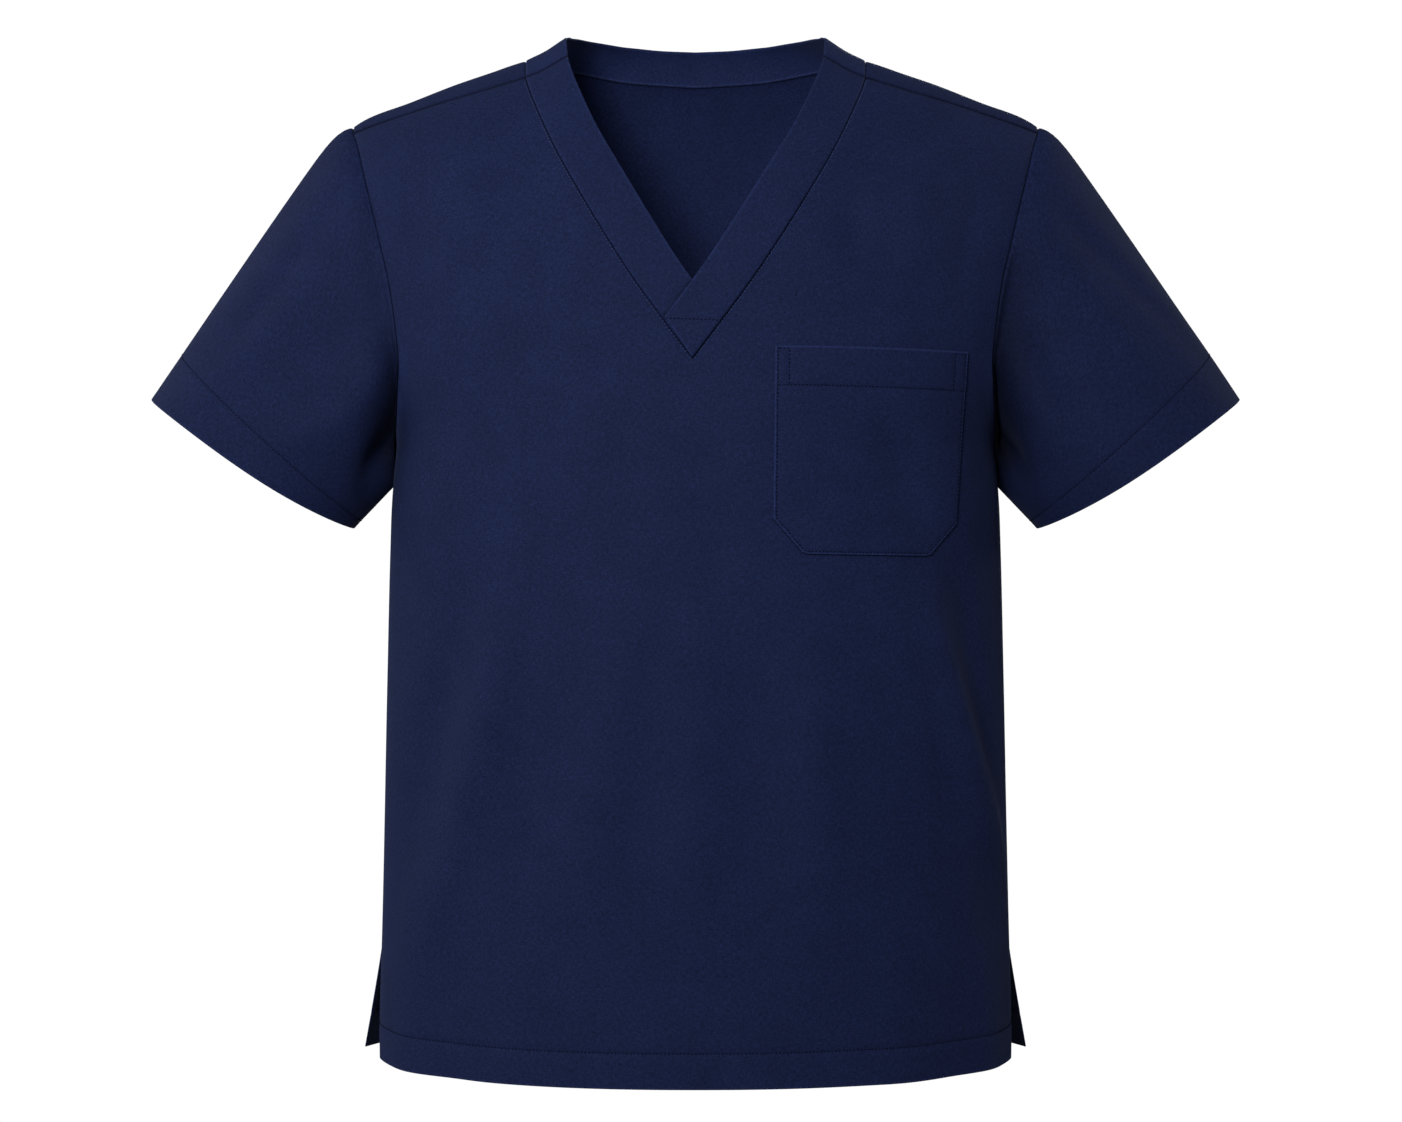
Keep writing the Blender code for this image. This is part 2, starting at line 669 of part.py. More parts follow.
def sleeve_folds(around, share):
    """How far the sleeve's soft folds lift or sink the cloth."""
    lift = np.zeros((share.shape[0], len(around), 1))
    for index in range(len(SLEEVE_FOLDS["around"])):
        fold = {name: column[index] for name, column in SLEEVE_FOLDS.items()}
        near = ((np.degrees(around) - fold["around"]) / fold["spread"])[None, :, None]
        along = np.clip((share - fold["start"]) / (fold["end"] - fold["start"]), 0, 1)
        swell = np.sin(math.pi * along ** SLEEVE_FOLD_ONSET) ** 2
        lift += fold["depth"] * np.exp(-near ** 2) * swell
    return lift


def make_sleeve(name, hand):
    """A short set-in sleeve, open at the armhole and at its folded hem.

    At the shoulder its wall lines up with the panels' walls. Under the arm it turns back
    on itself and hangs beside them.
    """
    start, torso_outward, around = armhole_loop()
    grid = sleeve_grid(around, start)
    outward = tube_outward(grid)
    in_line = ease(1 + np.cos(around) / SLEEVE_IN_LINE)[:, None]
    grid = pull_in(grid, 2 * SEAM_GAP, closed=True)
    grid[0] += (1 - in_line) * UNDERARM_CLEARANCE * torso_outward
    mixed = in_line * torso_outward + (1 - in_line) * outward[0]
    outward[0] = mixed / np.linalg.norm(mixed, axis=1, keepdims=True)
    thickness = np.full(grid.shape[:2], CLOTH_THICKNESS)
    thickness[-1:] = HEM_FOLD_THICKNESS
    mirror = np.array([hand, 1.0, 1.0])
    add_piece(name, wall_mesh(name, grid * mirror, thickness, outward * mirror, closed=True))


def band_piece(name, side, outer, inner, lift, stand=0.0):
    """A strip of neckband between its two edges, each given by turn and climb.

    "stand" is how far the strip stands up off the torso form, as a share of its full amount.
    """
    share = np.linspace(0, 1, BAND_ACROSS)
    turn = (1 - share) * outer[0][:, None] + share * inner[0][:, None]
    climb = (1 - share) * outer[1][:, None] + share * inner[1][:, None]
    grid = pull_in(torso_at_climb(side, turn, climb), SEAM_GAP)
    outward = form_outward(torso_at_climb, side, turn, climb)
    upright = np.array([0.0, BACK_BAND_STAND, BACK_BAND_RISE])
    grid = grid + outward * lift[:, None, None] + (stand * share)[..., None] * upright
    add_piece(name, wall_mesh(name, grid, BAND_THICKNESS, outward))


def make_front_band(name, hand, overlap_lift):
    """One side of the V neckband; its lower end crosses the other side's."""
    share = np.linspace(0, 1, FRONT_NECK_COLUMNS + 1)
    lift = BAND_LIFT + (overlap_lift - BAND_LIFT) * ease(share / BAND_CROSSING - 1)
    band_piece(name, FRONT, front_neck("outer", share, hand), front_neck("inner", share, hand), lift)


def make_back_band(name):
    """The back neckband, from one shoulder seam round the neck to the other."""
    over_shoulder = np.linspace(0, STRIP_NECK_SHARE, BACK_STRIP_ROWS)
    share = np.append(over_shoulder, np.linspace(STRIP_NECK_SHARE, 1, BACK_NECK_COLUMNS + 1)[1:])
    edges = []
    for edge in ("outer", "inner"):
        half = np.stack(back_neck(edge, share[::-1]), axis=-1)
        edges.append(both_sides(half).T)
    stand = ease((share[::-1] - BACK_BAND_STAND_START) / BACK_BAND_STAND_RUN)
    stand = np.concatenate([stand[:0:-1], stand])[:, None]
    band_piece(name, BACK, edges[0], edges[1], np.full(len(stand), BAND_LIFT), stand)


def make_pocket(name):
    """The chest patch pocket, laid on the front, with a thicker header at its top."""
    across, height = POCKET_CORNERS["across"], POCKET_CORNERS["height"]
    chamfer = POCKET_CHAMFER_WIDTH / (across[2] - across[3])
    middle = np.linspace(chamfer, 1 - chamfer, POCKET_MIDDLE_COLUMNS)
    share = np.concatenate([[0, chamfer / 2], middle, [1 - chamfer / 2, 1]])[None, :]
    top = (1 - share) * height[0] + share * height[1]
    bottom = (1 - share) * height[3] + share * height[2]
    corner = np.clip(1 - np.minimum(share, 1 - share) / chamfer, 0, 1)
    bottom = bottom + POCKET_CHAMFER_HEIGHT * corner
    down = np.linspace(0, 1, POCKET_DOWN)[:, None]
    header = POCKET_HEADER / (top - bottom).max()
    down = np.concatenate([[[0.0]], header + (1 - header) * down])
    left = (1 - down) * across[0] + down * across[3]
    right = (1 - down) * across[1] + down * across[2]
    height = (1 - down) * top + down * bottom
    turn = turn_at((1 - share) * left + share * right, height)
    grid = torso_at_height(FRONT, turn, height)
    outward = form_outward(torso_at_height, FRONT, turn, height)
    thickness = np.full(grid.shape[:2], CLOTH_THICKNESS)
    thickness[:1] += POCKET_HEADER_FOLD
    grid = grid + outward * (POCKET_CLEARANCE + thickness)[..., None]
    add_piece(name, wall_mesh(name, grid, thickness, outward))


def clear_scene():
    """Remove whatever the scene holds."""
    for item in list(bpy.data.objects):
        bpy.data.objects.remove(item, do_unlink=True)


def build():
    """Make the whole top."""
    clear_scene()
    make_panel("front", FRONT)
    make_panel("back", BACK)
    make_sleeve("sleeve_left", 1)
    make_sleeve("sleeve_right", -1)
    make_front_band("neckband_front_left", 1, BAND_OVER_LIFT)
    make_front_band("neckband_front_right", -1, BAND_UNDER_LIFT)
    make_back_band("neckband_back")
    make_pocket("chest_pocket")


build()
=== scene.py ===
"""Dress the V-neck scrub top: navy cloth with its folds, seams, hems and stitching.

Every panel is a closed shell worked out on the torso form that its solid has. "Turn" runs
round the body from 0 at the centre line to 90 degrees at the side seam, and "climb" runs up
it from 0 at the chest to 90 degrees on the ridge of the shoulder. Metres, +Z up, front to -Y.
"""
import math

import bpy
import numpy as np
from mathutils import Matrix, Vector


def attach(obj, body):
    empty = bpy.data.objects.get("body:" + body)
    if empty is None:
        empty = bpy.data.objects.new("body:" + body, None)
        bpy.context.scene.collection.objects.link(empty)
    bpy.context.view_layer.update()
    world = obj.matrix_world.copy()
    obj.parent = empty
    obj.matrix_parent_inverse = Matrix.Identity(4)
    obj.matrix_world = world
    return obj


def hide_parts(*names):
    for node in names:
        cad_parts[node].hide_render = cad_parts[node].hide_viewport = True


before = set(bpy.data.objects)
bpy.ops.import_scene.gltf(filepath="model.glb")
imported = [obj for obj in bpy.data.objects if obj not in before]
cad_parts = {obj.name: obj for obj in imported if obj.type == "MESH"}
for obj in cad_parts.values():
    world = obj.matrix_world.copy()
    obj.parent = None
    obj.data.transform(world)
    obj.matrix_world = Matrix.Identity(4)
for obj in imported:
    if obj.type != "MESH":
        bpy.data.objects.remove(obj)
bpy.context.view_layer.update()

FRONT, BACK = -1, 1

# The torso form
HEM_HEIGHT = -0.713
VENT_TOP_HEIGHT = -0.630
UNDERARM_HEIGHT = -0.288
CHEST_HEIGHT = -0.360
SHOULDER_LINE_DEPTH = 0.003
SECTION_SQUARENESS = 2.2
BACK_RISE_POWER = 1.0 / 1.3
SLOPE_STEP = 0.0002
FORM_ROUNDS = 12
VENT_TURN = {FRONT: math.radians(79.5), BACK: math.radians(85.0)}
VENT_FLARE = 0.0135
VENT_CURVE = 1.15
VENT_FLARE_POWER = 7
VEE_OFFSET = -0.002

# Panels: where the neck ends and the back's shoulder strips start, and how patches are drawn
NECK_REACH = {FRONT: 0.5, BACK: 0.42}
STRIP_ARM_SHARE = 0.875
STRIP_NECK_SHARE = 0.4
STRIP_LENGTH = 0.045
ARM_LENGTH = 0.31
SIDE_PULL = 4
NECK_SLANT = 2.0
SHOULDER_SLANT = 1.15
NECK_BLEND = 0.12
CLOSE_SPREAD = 1.4
BETWEEN_STEPS = 16
MAP_TURN = 0.6
ARC_STEPS = 400

# Cloth, hems and seams
CLOTH = 0.0009
HEM_FOLD = 0.0018
BAND_FOLD = 0.0014
THIN_RIM = 0.00006
FOLD_STEP = 0.0008
HEM_DEPTH = 0.0245
HEM_STITCH = 0.0238
VENT_STITCH = 0.0046
VENT_FOLD = 0.0056
ROLL_DEPTH = 0.0011
ROLL_WIDTH = 0.0008
ROLL_SHOULDER = 0.0042
ROLL_SHOULDER_SHARE = 0.30

# How light the cloth is, as shares of its colour, and over what distances: painted shade and painted
# highlights, and a paler reverse
# Painted shade in seam grooves, and painted highlights along edges, stronger on the pocket's edges
PAINTED_GROOVE_SHADE, GROOVE_REACH = 0.58, 0.00055
PAINTED_EDGE_HIGHLIGHT, CREST_PLACE, CREST_REACH = 0.42, 0.0009, 0.00045
POCKET_PAINTED_HIGHLIGHT = 0.85
REVERSE_LIGHT = 1.18
# Painted light on the front beside the lower armholes
PAINTED_ARM_LIGHT, ARM_LIGHT_REACH = 0.9, 0.010
ARM_LIGHT_HEIGHT, ARM_LIGHT_RUN = -0.270, 0.042
# Painted shade on the reverse inside the vents
VENT_SHADE, VENT_SHADE_REACH, VENT_SHADE_RISE = 0.75, 0.035, 4
# Painted shade in the shoulder seams' grooves
PAINTED_SHOULDER_SHADE, SHOULDER_GROOVE = 0.70, 0.0017
# Painted shadow of the crossing band's edge
PAINTED_CROSSING_SHADOW, CROSSING_REACH = 0.60, 0.0013
# Painted light on the back band
PAINTED_BACK_BAND_LIGHT = 1.14
# Painted shade along the stitch lines
STITCH_SHADE = 0.04

# Neckbands
BAND_WIDTH = 0.031
BAND_STEP = 0.0024
BAND_LIFT = 0.0004
BAND_OVER_LIFT = 0.0020
BAND_UNDER_LIFT = -0.0001
BAND_CROSSING = 0.35
FRONT_BAND_RUN, FRONT_BAND_STEPS = 0.26, 110
BACK_BAND_RUN, BACK_BAND_STEPS = 0.17, 80
BACK_BAND_STAND = (0.0, 0.012, 0.0024)
BACK_BAND_STAND_START = 0.15
BACK_BAND_STAND_RUN = 0.6
BACK_BAND_STITCH = 0.0016

# Stitches
STITCH_PITCH = 0.0025
STITCH_LENGTH = 0.0015
STITCH_WIDTH = 0.0009
STITCH_RISE = 0.00020
STITCH_TAPER = 0.8
STITCH_SECTIONS = STITCH_SIDES = 5
STITCH_TROUGH = 0.00035
STITCH_TROUGH_WIDTH = 0.0009
VEE_STITCH, VEE_STITCH_START, VEE_STEPS = 0.0011, 0.03, 300
TACK_HEIGHT = -0.2093
TACK_LIFT = 0.0001
TACK_WITHIN = slice(3, -3)

# Mesh spacing, and the distances of the close rows at an edge and beside a stitch line
MESH_STEP = 0.0042
MARK_ROOM = 0.45
CLOSE = np.array((0.0002, 0.0005, 0.0009, 0.0014, 0.0021, 0.0031))
BESIDE = np.array((-0.0012, -0.0006, 0.0, 0.0006, 0.0012))
POINTS_AT_ONCE = 2000
TINY, NO_LENGTH = 1e-6, 1e-14

# The sleeve's hem ring, cap, underarm sag, and the tucks in front of and behind the underarm
SLEEVE_HEM_CENTRE = (0.3119, 0.0, -0.3000)
SLEEVE_HEM_TILT = math.radians(32.7)
SLEEVE_HEM_HALF_HEIGHT = 0.0841
SLEEVE_HEM_HALF_DEPTH = 0.0600
SLEEVE_HEM_BOW = 0.0034
SLEEVE_HEM_BOW_LOW = 0.9
SLEEVE_CAP_PUFF, SLEEVE_CAP_REACH = 0.0080, 0.035
SLEEVE_SAG, SLEEVE_SAG_REACH, SLEEVE_SAG_LEAN = 0.0245, 0.022, -0.02
SLEEVE_IN_LINE = 0.75
SLEEVE_STEPS = 100
SLEEVE_STEP = MESH_STEP * 0.8
SLEEVE_ROWS_NEAR_CAP = (0.006, 0.009)
SLEEVE_CREASE_START = 0.12
SLEEVE_FOLD_ONSET = 0.55
SLEEVE_TUCK, SLEEVE_TUCK_REACH = 0.026, 0.034
SLEEVE_TUCK_PLACE, SLEEVE_TUCK_SPREAD = 42.0, 19.0
SLEEVE_TUCK_WALL = 0.005
SLEEVE_CHANNEL, SLEEVE_CHANNEL_REACH = 0.006, 0.018
SLEEVE_CHANNEL_PLACES = (20.0, 50.0, 90.0, 130.0)
SLEEVE_FACE_REACH, SLEEVE_ROLL_REACH = 0.0015, 0.0025
# Painted shade beside the armhole seam and deep under the arm, as shares of the colour
SLEEVE_SEAM_SHADE = {-1: 0.85, 1: 0.98}
SLEEVE_SEAM_REACH = {-1: 0.013, 1: 0.026}
SLEEVE_SEAM_START = {-1: 105.0, 1: 165.0}
SLEEVE_SEAM_END = 10.0
SLEEVE_DEEP_SHADE, SLEEVE_DEEP_PLACE, SLEEVE_DEEP_SPREAD = 0.82, 28.0, 26.0
UNDERARM_CLEARANCE = 0.00005

# The chest pocket: its cut corners, header, and how its face stands off the front
POCKET_CHAMFER_WIDTH = 0.0200
POCKET_CHAMFER_HEIGHT = 0.0225
POCKET_HEADER, POCKET_HEADER_LIFT = 0.0260, 0.0003
POCKET_EDGE_STITCH = 0.0021
POCKET_CORNER_STITCH = (0.5, 0.6)
POCKET_BOX = 0.0075
POCKET_SEAT, POCKET_LIFT, POCKET_EDGE_REACH = 0.0004, 0.0020, 0.0007
POCKET_PUFF, POCKET_PUFF_REACH, POCKET_PUFF_DOWN = 0.0009, 0.030, 0.08
POCKET_STEP = 0.0026
POCKET_BESIDE = BESIDE * 0.6
POCKET_BEHIND = 0.0001
POCKET_RIM = 1.9
POCKET_STITCH_TOP = 0.004
POCKET_LINE_STEPS = 200

# Where creases fade out: beside seams, and towards the hem
CREASE_FREE = 0.016
CREASE_AT_HEM, CREASE_HEM_REACH = 0.2, 0.06
CLEARANCE_STEPS = 60

# Colours and finish
NAVY = (0.0090, 0.0144, 0.0510)
LIGHT_THREAD = (0.030, 0.042, 0.110)
# Navy thread, made darker than the cloth as painted shade of the needle holes it sits in
DARK_THREAD = (0.0040, 0.0062, 0.0220)
CLOTH_ROUGHNESS, CLOTH_SPECULAR = 0.75, 0.05
NOISE_RANGE = (0.3, 0.7)
SHEEN = {"Sheen Weight": 0.035, "Sheen Roughness": 0.45, "Sheen Tint": (0.42, 0.55, 1.0, 1.0)}
THREAD_SCALE, THREAD_RANGE = (1500, 350), (0.79, 1.21)
MOTTLE_SCALE, MOTTLE_RANGE = 520.0, (0.86, 1.14)
CLOUD_SCALE, CLOUD_DETAIL, CLOUD_RANGE = 34.0, 4.0, (0.93, 1.07)
SLUB_SCALE, SLUB_RANGE, SLUB_PLACES = 170.0, (0.955, 1.045), (0.46, 0.49, 0.52)
TWIST_SCALE, TWIST_RANGE = 1500.0, (0.75, 1.25)
WEAVE_SCALE, WEAVE_HEIGHT = 700.0, 0.3
BUMP_STRENGTH, BUMP_DISTANCE = 0.25, 0.0003

# Studio
CAMERA_PLACE = (0.0, -1.77, -0.368)
CAMERA_LENS = 64.48
CAMERA_SHIFT = 0.0039
FLOOR_HEIGHT = -1.25
SWEEP_RADIUS, SWEEP_STEPS = 1.2, 24
SWEEP_BACK, SWEEP_FRONT = 2.6, -5.0
SWEEP_HALF_WIDTH, SWEEP_TOP = 6.0, 3.5
FLOOR_GREY, FLOOR_ROUGHNESS = 0.25, 0.9
ROOM_LIGHT = 0.008
WHITE = (1.0, 1.0, 1.0, 1.0)
SEEN_WHITE = 1.02


def table(columns, rows):
    """A table as one array for each named column."""
    return dict(zip(columns.split(), np.array(rows, dtype=float).T))


def listed(columns, rows):
    """A list of rows, each with its values under their column names."""
    return [dict(zip(columns.split(), row)) for row in rows]


def chosen(rows, column, value):
    """The rows that have a value in a column."""
    return [row for row in rows if row[column] == value]


# Torso sections from hem to neck: half width at the side seam, and depth front and back.
TORSO = table("height half_width front_depth back_depth", (
    (-0.713, 0.2225, 0.1340, 0.1300), (-0.630, 0.2200, 0.1335, 0.1300), (-0.450, 0.2162, 0.1330, 0.1310),
    (-0.360, 0.2141, 0.1330, 0.1310), (-0.330, 0.2131, 0.1330, 0.1310), (-0.305, 0.2113, 0.1330, 0.1310),
    (-0.288, 0.2098, 0.1330, 0.1310), (-0.265, 0.2140, 0.1330, 0.1310), (-0.240, 0.2240, 0.1330, 0.1310),
    (-0.210, 0.2365, 0.1330, 0.1310), (-0.180, 0.2465, 0.1330, 0.1310), (-0.150, 0.2540, 0.1330, 0.1310),
    (-0.120, 0.2592, 0.1330, 0.1310), (-0.060, 0.2640, 0.1330, 0.1310), (0.020, 0.2660, 0.1330, 0.1310),
))

# The ridge of the shoulders, from the centre line out to the sleeve.
RIDGE = table("across height", (
    (0.0000, 0.0125), (0.0500, 0.0108), (0.0750, 0.0078), (0.0880, 0.0018), (0.1060, -0.0097),
    (0.1380, -0.0220), (0.1700, -0.0330), (0.2010, -0.0450), (0.2330, -0.0570), (0.2435, -0.0630),
    (0.2700, -0.0780),
))

# How the upper back rounds over to the ridge: a low power keeps it full.
UPPER_BACK = table("across power", (
    (0.000, 0.47), (0.088, 0.62), (0.120, 0.76), (0.170, 0.92), (0.250, 1.00),
))

# The armhole from the underarm up to the shoulder seam, in degrees.
ARMHOLE = table("front_climb front_turn back_climb back_turn", (
    (13.35, 90.0, 8.55, 90.0), (14.3, 85.8, 9.6, 87.0), (16.4, 79.0, 12.0, 81.5), (20.0, 68.7, 16.5, 73.0),
    (25.5, 60.5, 25.0, 64.3), (34.5, 56.6, 37.0, 61.2), (46.0, 57.5, 55.0, 62.2), (61.0, 60.8, 79.0, 65.6),
    (77.5, 64.6, 102.5, 64.6),
))

# The shoulder seam lies forward of the ridge, from the neckband out to the armhole.
SHOULDER_SEAM = table("across height", (
    (0.1176, -0.0340), (0.1350, -0.0390), (0.1914, -0.0539), (0.2402, -0.0682),
))

# The V neckline from the shoulder seam down: the band's outer seam and its inner edge.
NECKLINE = table("outer_across outer_height inner_across inner_height", (
    (0.1176, -0.0340, 0.0883, -0.0205), (0.1117, -0.0508, 0.0812, -0.0410),
    (0.0965, -0.0850, 0.0665, -0.0735), (0.0785, -0.1180, 0.0490, -0.1040),
    (0.0560, -0.1555, 0.0275, -0.1400), (0.0345, -0.1882, 0.0080, -0.1710),
    (0.0000, -0.2350, -0.0184, -0.2077),
))

# The back neckband from the shoulder ridge to the centre back, in degrees.
BACK_NECK = table("outer_turn outer_climb inner_turn inner_climb", (
    (24.3, 89.7, 17.8, 93.3), (20.6, 78.6, 16.3, 87.9), (14.8, 68.8, 13.0, 81.4), (8.6, 65.4, 5.9, 77.3),
    (0.0, 63.9, 0.0, 76.3),
))

# The chest pocket's corners as seen from the front, round from the top inner one.
POCKET_CORNERS = table("across height", (
    (0.0519, -0.2265), (0.1828, -0.2271), (0.1748, -0.3655), (0.0504, -0.3634),
))

# Soft folds that hang in the lower part of each panel, fading out up to their top.
PANEL_FOLDS = listed("side turn spread top depth", (
    (FRONT, 63.0, 6.0, -0.430, 0.0020), (FRONT, 50.0, 5.5, -0.520, -0.0013),
    (FRONT, 36.0, 6.5, -0.560, 0.0020), (FRONT, -60.0, 7.0, -0.500, 0.0026),
    (FRONT, -45.0, 6.0, -0.580, -0.0018), (BACK, 60.0, 7.0, -0.400, 0.0036),
    (BACK, 40.0, 8.0, -0.480, -0.0028), (BACK, 14.0, 9.0, -0.520, 0.0026),
    (BACK, -22.0, 8.0, -0.450, -0.0030), (BACK, -52.0, 8.0, -0.420, 0.0036),
))

# Soft folds in the sleeve's front and back, in degrees round from the top.
SLEEVE_FOLDS = listed("around spread start end depth", (
    (112.0, 10.0, 0.00, 0.80, 0.0022), (148.0, 15.0, 0.00, 0.75, -0.0105),
    (214.0, 14.0, 0.00, 0.70, -0.0080), (248.0, 10.0, 0.00, 0.80, 0.0024),
))

# Creases, listed one by one. "lean" is how far the crease tips from upright toward the
# wearer's left as it rises, in degrees; "bow" is how far its middle bends sideways.
CREASES = listed("side across height lean half_length width depth bow", (
    (FRONT, -0.176, -0.480, 13, 0.170, 0.0150, -0.0066, 0.004),
    (FRONT, -0.147, -0.495, 13, 0.180, 0.0150, 0.0066, 0.005),
    (FRONT, -0.105, -0.523, 4, 0.100, 0.0190, -0.0040, 0.003),
    (FRONT, -0.062, -0.490, 5, 0.150, 0.0200, 0.0026, 0.003),
    (FRONT, -0.031, -0.520, 2, 0.120, 0.0160, -0.0016, -0.002),
    (FRONT, -0.003, -0.500, 0, 0.150, 0.0170, 0.0018, 0.002),
    (FRONT, 0.040, -0.520, -2, 0.150, 0.0220, -0.0034, -0.003),
    (FRONT, 0.084, -0.500, -3, 0.130, 0.0180, 0.0034, -0.004),
    (FRONT, 0.183, -0.490, -16, 0.150, 0.0120, 0.0088, -0.004),
    (FRONT, 0.201, -0.470, -15, 0.130, 0.0110, -0.0080, -0.006),
    (FRONT, 0.140, -0.430, -10, 0.120, 0.0150, 0.0026, -0.004),
    (FRONT, 0.196, -0.600, -6, 0.060, 0.0090, -0.0022, 0.000),
    (FRONT, -0.185, -0.600, 4, 0.080, 0.0120, 0.0024, 0.000),
    (FRONT, 0.136, -0.312, -20, 0.055, 0.0160, -0.0050, 0.003),
    (FRONT, 0.103, -0.141, -3, 0.060, 0.0110, -0.0024, 0.002),
    (FRONT, 0.150, -0.140, 8, 0.065, 0.0140, 0.0032, -0.003),
    (FRONT, 0.186, -0.150, 12, 0.060, 0.0100, -0.0028, -0.003),
    (FRONT, -0.190, -0.155, -10, 0.065, 0.0120, -0.0026, 0.003),
    (FRONT, -0.150, -0.130, -22, 0.060, 0.0140, 0.0020, 0.003),
    (FRONT, -0.110, -0.230, 36, 0.075, 0.0160, -0.0018, 0.004),
    (FRONT, -0.075, -0.300, 22, 0.080, 0.0170, 0.0020, 0.004),
    (FRONT, 0.010, -0.330, -8, 0.080, 0.0160, -0.0016, 0.003),
    (BACK, -0.160, -0.430, 14, 0.130, 0.0130, 0.0040, 0.006),
    (BACK, -0.130, -0.480, 18, 0.130, 0.0150, -0.0042, 0.006),
    (BACK, -0.070, -0.480, 8, 0.150, 0.0180, 0.0040, 0.004),
    (BACK, -0.012, -0.530, 2, 0.140, 0.0160, -0.0034, 0.003),
    (BACK, 0.048, -0.500, -5, 0.150, 0.0190, 0.0042, -0.004),
    (BACK, 0.103, -0.520, -14, 0.130, 0.0140, -0.0038, -0.006),
    (BACK, 0.160, -0.480, -16, 0.120, 0.0120, 0.0040, -0.006),
    (BACK, 0.186, -0.560, -8, 0.090, 0.0100, -0.0030, -0.004),
    (BACK, -0.188, -0.170, -16, 0.065, 0.0120, -0.0028, 0.004),
    (BACK, 0.184, -0.160, 16, 0.065, 0.0130, -0.0030, -0.004),
    (BACK, 0.060, -0.190, 48, 0.065, 0.0160, -0.0020, 0.004),
    (BACK, -0.070, -0.230, -42, 0.075, 0.0160, 0.0022, -0.004),
))

# Creases in the sleeves: the hand (-1 is the wearer's right), degrees round from the top,
# share of the way down, lean in degrees, and sizes along the cloth.
SLEEVE_CREASES = listed("hand around share lean half_length width depth", (
    (-1, 38, 0.30, 8, 0.070, 0.010, -0.0022), (-1, 60, 0.45, -8, 0.080, 0.011, 0.0022),
    (-1, 84, 0.35, -14, 0.075, 0.011, -0.0030), (-1, 108, 0.55, -18, 0.060, 0.011, 0.0022),
    (-1, 20, 0.70, 6, 0.050, 0.012, 0.0014), (-1, 255, 0.45, 12, 0.080, 0.011, -0.0024),
    (-1, 300, 0.50, -6, 0.080, 0.012, 0.0022), (1, 33, 0.35, -6, 0.070, 0.010, -0.0022),
    (1, 58, 0.40, 10, 0.080, 0.011, 0.0026), (1, 90, 0.32, 14, 0.080, 0.012, -0.0036),
    (1, 116, 0.55, 18, 0.060, 0.011, 0.0022), (1, 15, 0.70, -5, 0.050, 0.012, 0.0014),
    (1, 258, 0.40, -12, 0.080, 0.011, -0.0024), (1, 305, 0.55, 6, 0.080, 0.012, 0.0020),
))

# Each light's name, its place, what it is aimed at, its size and its power.
LIGHTS = (
    ("front_high", (-0.45, -1.55, 0.35), (0, 0, -0.10), 0.5, 9.7),
    ("front_level", (-0.35, -1.70, 0.00), (0, 0, -0.10), 0.4, 12.8),
    ("front_far", (-1.00, -4.20, 0.20), (0, 0, -0.15), 0.8, 6.4),
    ("left", (-3.00, -0.50, 0.10), (0, 0, -0.40), 1.4, 32),
    ("left_rim", (-1.90, 0.70, 0.90), (0, 0, -0.20), 1.2, 11.5),
    ("right", (2.20, -1.50, 0.60), (0, 0, -0.30), 1.4, 7),
    ("right_rim", (1.90, 0.70, 0.90), (0, 0, -0.20), 1.2, 12.5),
    ("top", (0.0, -0.9, 1.6), (0, 0, 0), 1.0, 5),
    ("back", (0.40, 2.40, 0.30), (0, 0, -0.30), 1.2, 48),
)


def smooth(at, places, values):
    """A smooth curve through the points (places, values): cubic pieces with shared slopes."""
    at = np.asarray(at, dtype=float)
    slopes = np.gradient(values, places)
    left = np.clip(np.searchsorted(places, at) - 1, 0, len(places) - 2)
    width = places[left + 1] - places[left]
    f = np.clip((at - places[left]) / width, 0.0, 1.0)
    ends = (1 + 2 * f) * (1 - f) ** 2 * values[left] + f * f * (3 - 2 * f) * values[left + 1]
    bends = f * (1 - f) ** 2 * slopes[left] + f * f * (f - 1) * slopes[left + 1]
    return ends + width * bends


def along(values, share):
    """A smooth curve through evenly spaced values, read at shares of its length."""
    steps = np.arange(len(values), dtype=float)
    return smooth(np.asarray(share) * steps[-1], steps, values)


def ease(value):
    """A soft step from 0 to 1: 3v^2 - 2v^3."""
    value = np.clip(value, 0.0, 1.0)
    return value * value * (3.0 - 2.0 * value)


def bell(off, width):
    """1 on a line, fading out beside it: exp(-(off / width)^2)."""
    return np.exp(-(off / width) ** 2)


def between(start, end, share):
    """The place at a share of the way from start to end."""
    return (1 - share) * start + share * end


def unit(vectors):
    """Vectors brought to length 1."""
    return vectors / np.linalg.norm(vectors, axis=-1, keepdims=True)


def paired(*values):
    """Values side by side, as the last axis of one array."""
    return np.stack(np.broadcast_arrays(*values), axis=-1)


def arc_length(line):
    """The distance along a line of points at each of them."""
    return np.concatenate([[0.0], np.cumsum(np.linalg.norm(np.diff(line, axis=0), axis=1))])


def ring(grid, row):
    """A row of a tube's grid, closed by its first point."""
    return np.concatenate([grid[row], grid[row, :1]])


def half_width(height):
    """Half the torso's width at a height."""
    return smooth(height, TORSO["height"], TORSO["half_width"])


def depth(side, height):
    """The torso's depth at a height, in front of or behind the shoulder line."""
    front = smooth(height, TORSO["height"], TORSO["front_depth"])
    return np.where(side < 0, front, smooth(height, TORSO["height"], TORSO["back_depth"]))


def ridge_height(across):
    """The height of the shoulder ridge at a distance from the centre line."""
    return smooth(np.abs(across), RIDGE["across"], RIDGE["height"])


def rise_power(side):
    """The power that shapes how the height grows with climb."""
    return np.where(side < 0, 1.0, BACK_RISE_POWER)


def squarish(wave):
    """The sine or cosine of a turn to the power 2 / squareness, with its sign."""
    return np.sign(wave) * np.abs(wave) ** (2.0 / SECTION_SQUARENESS)


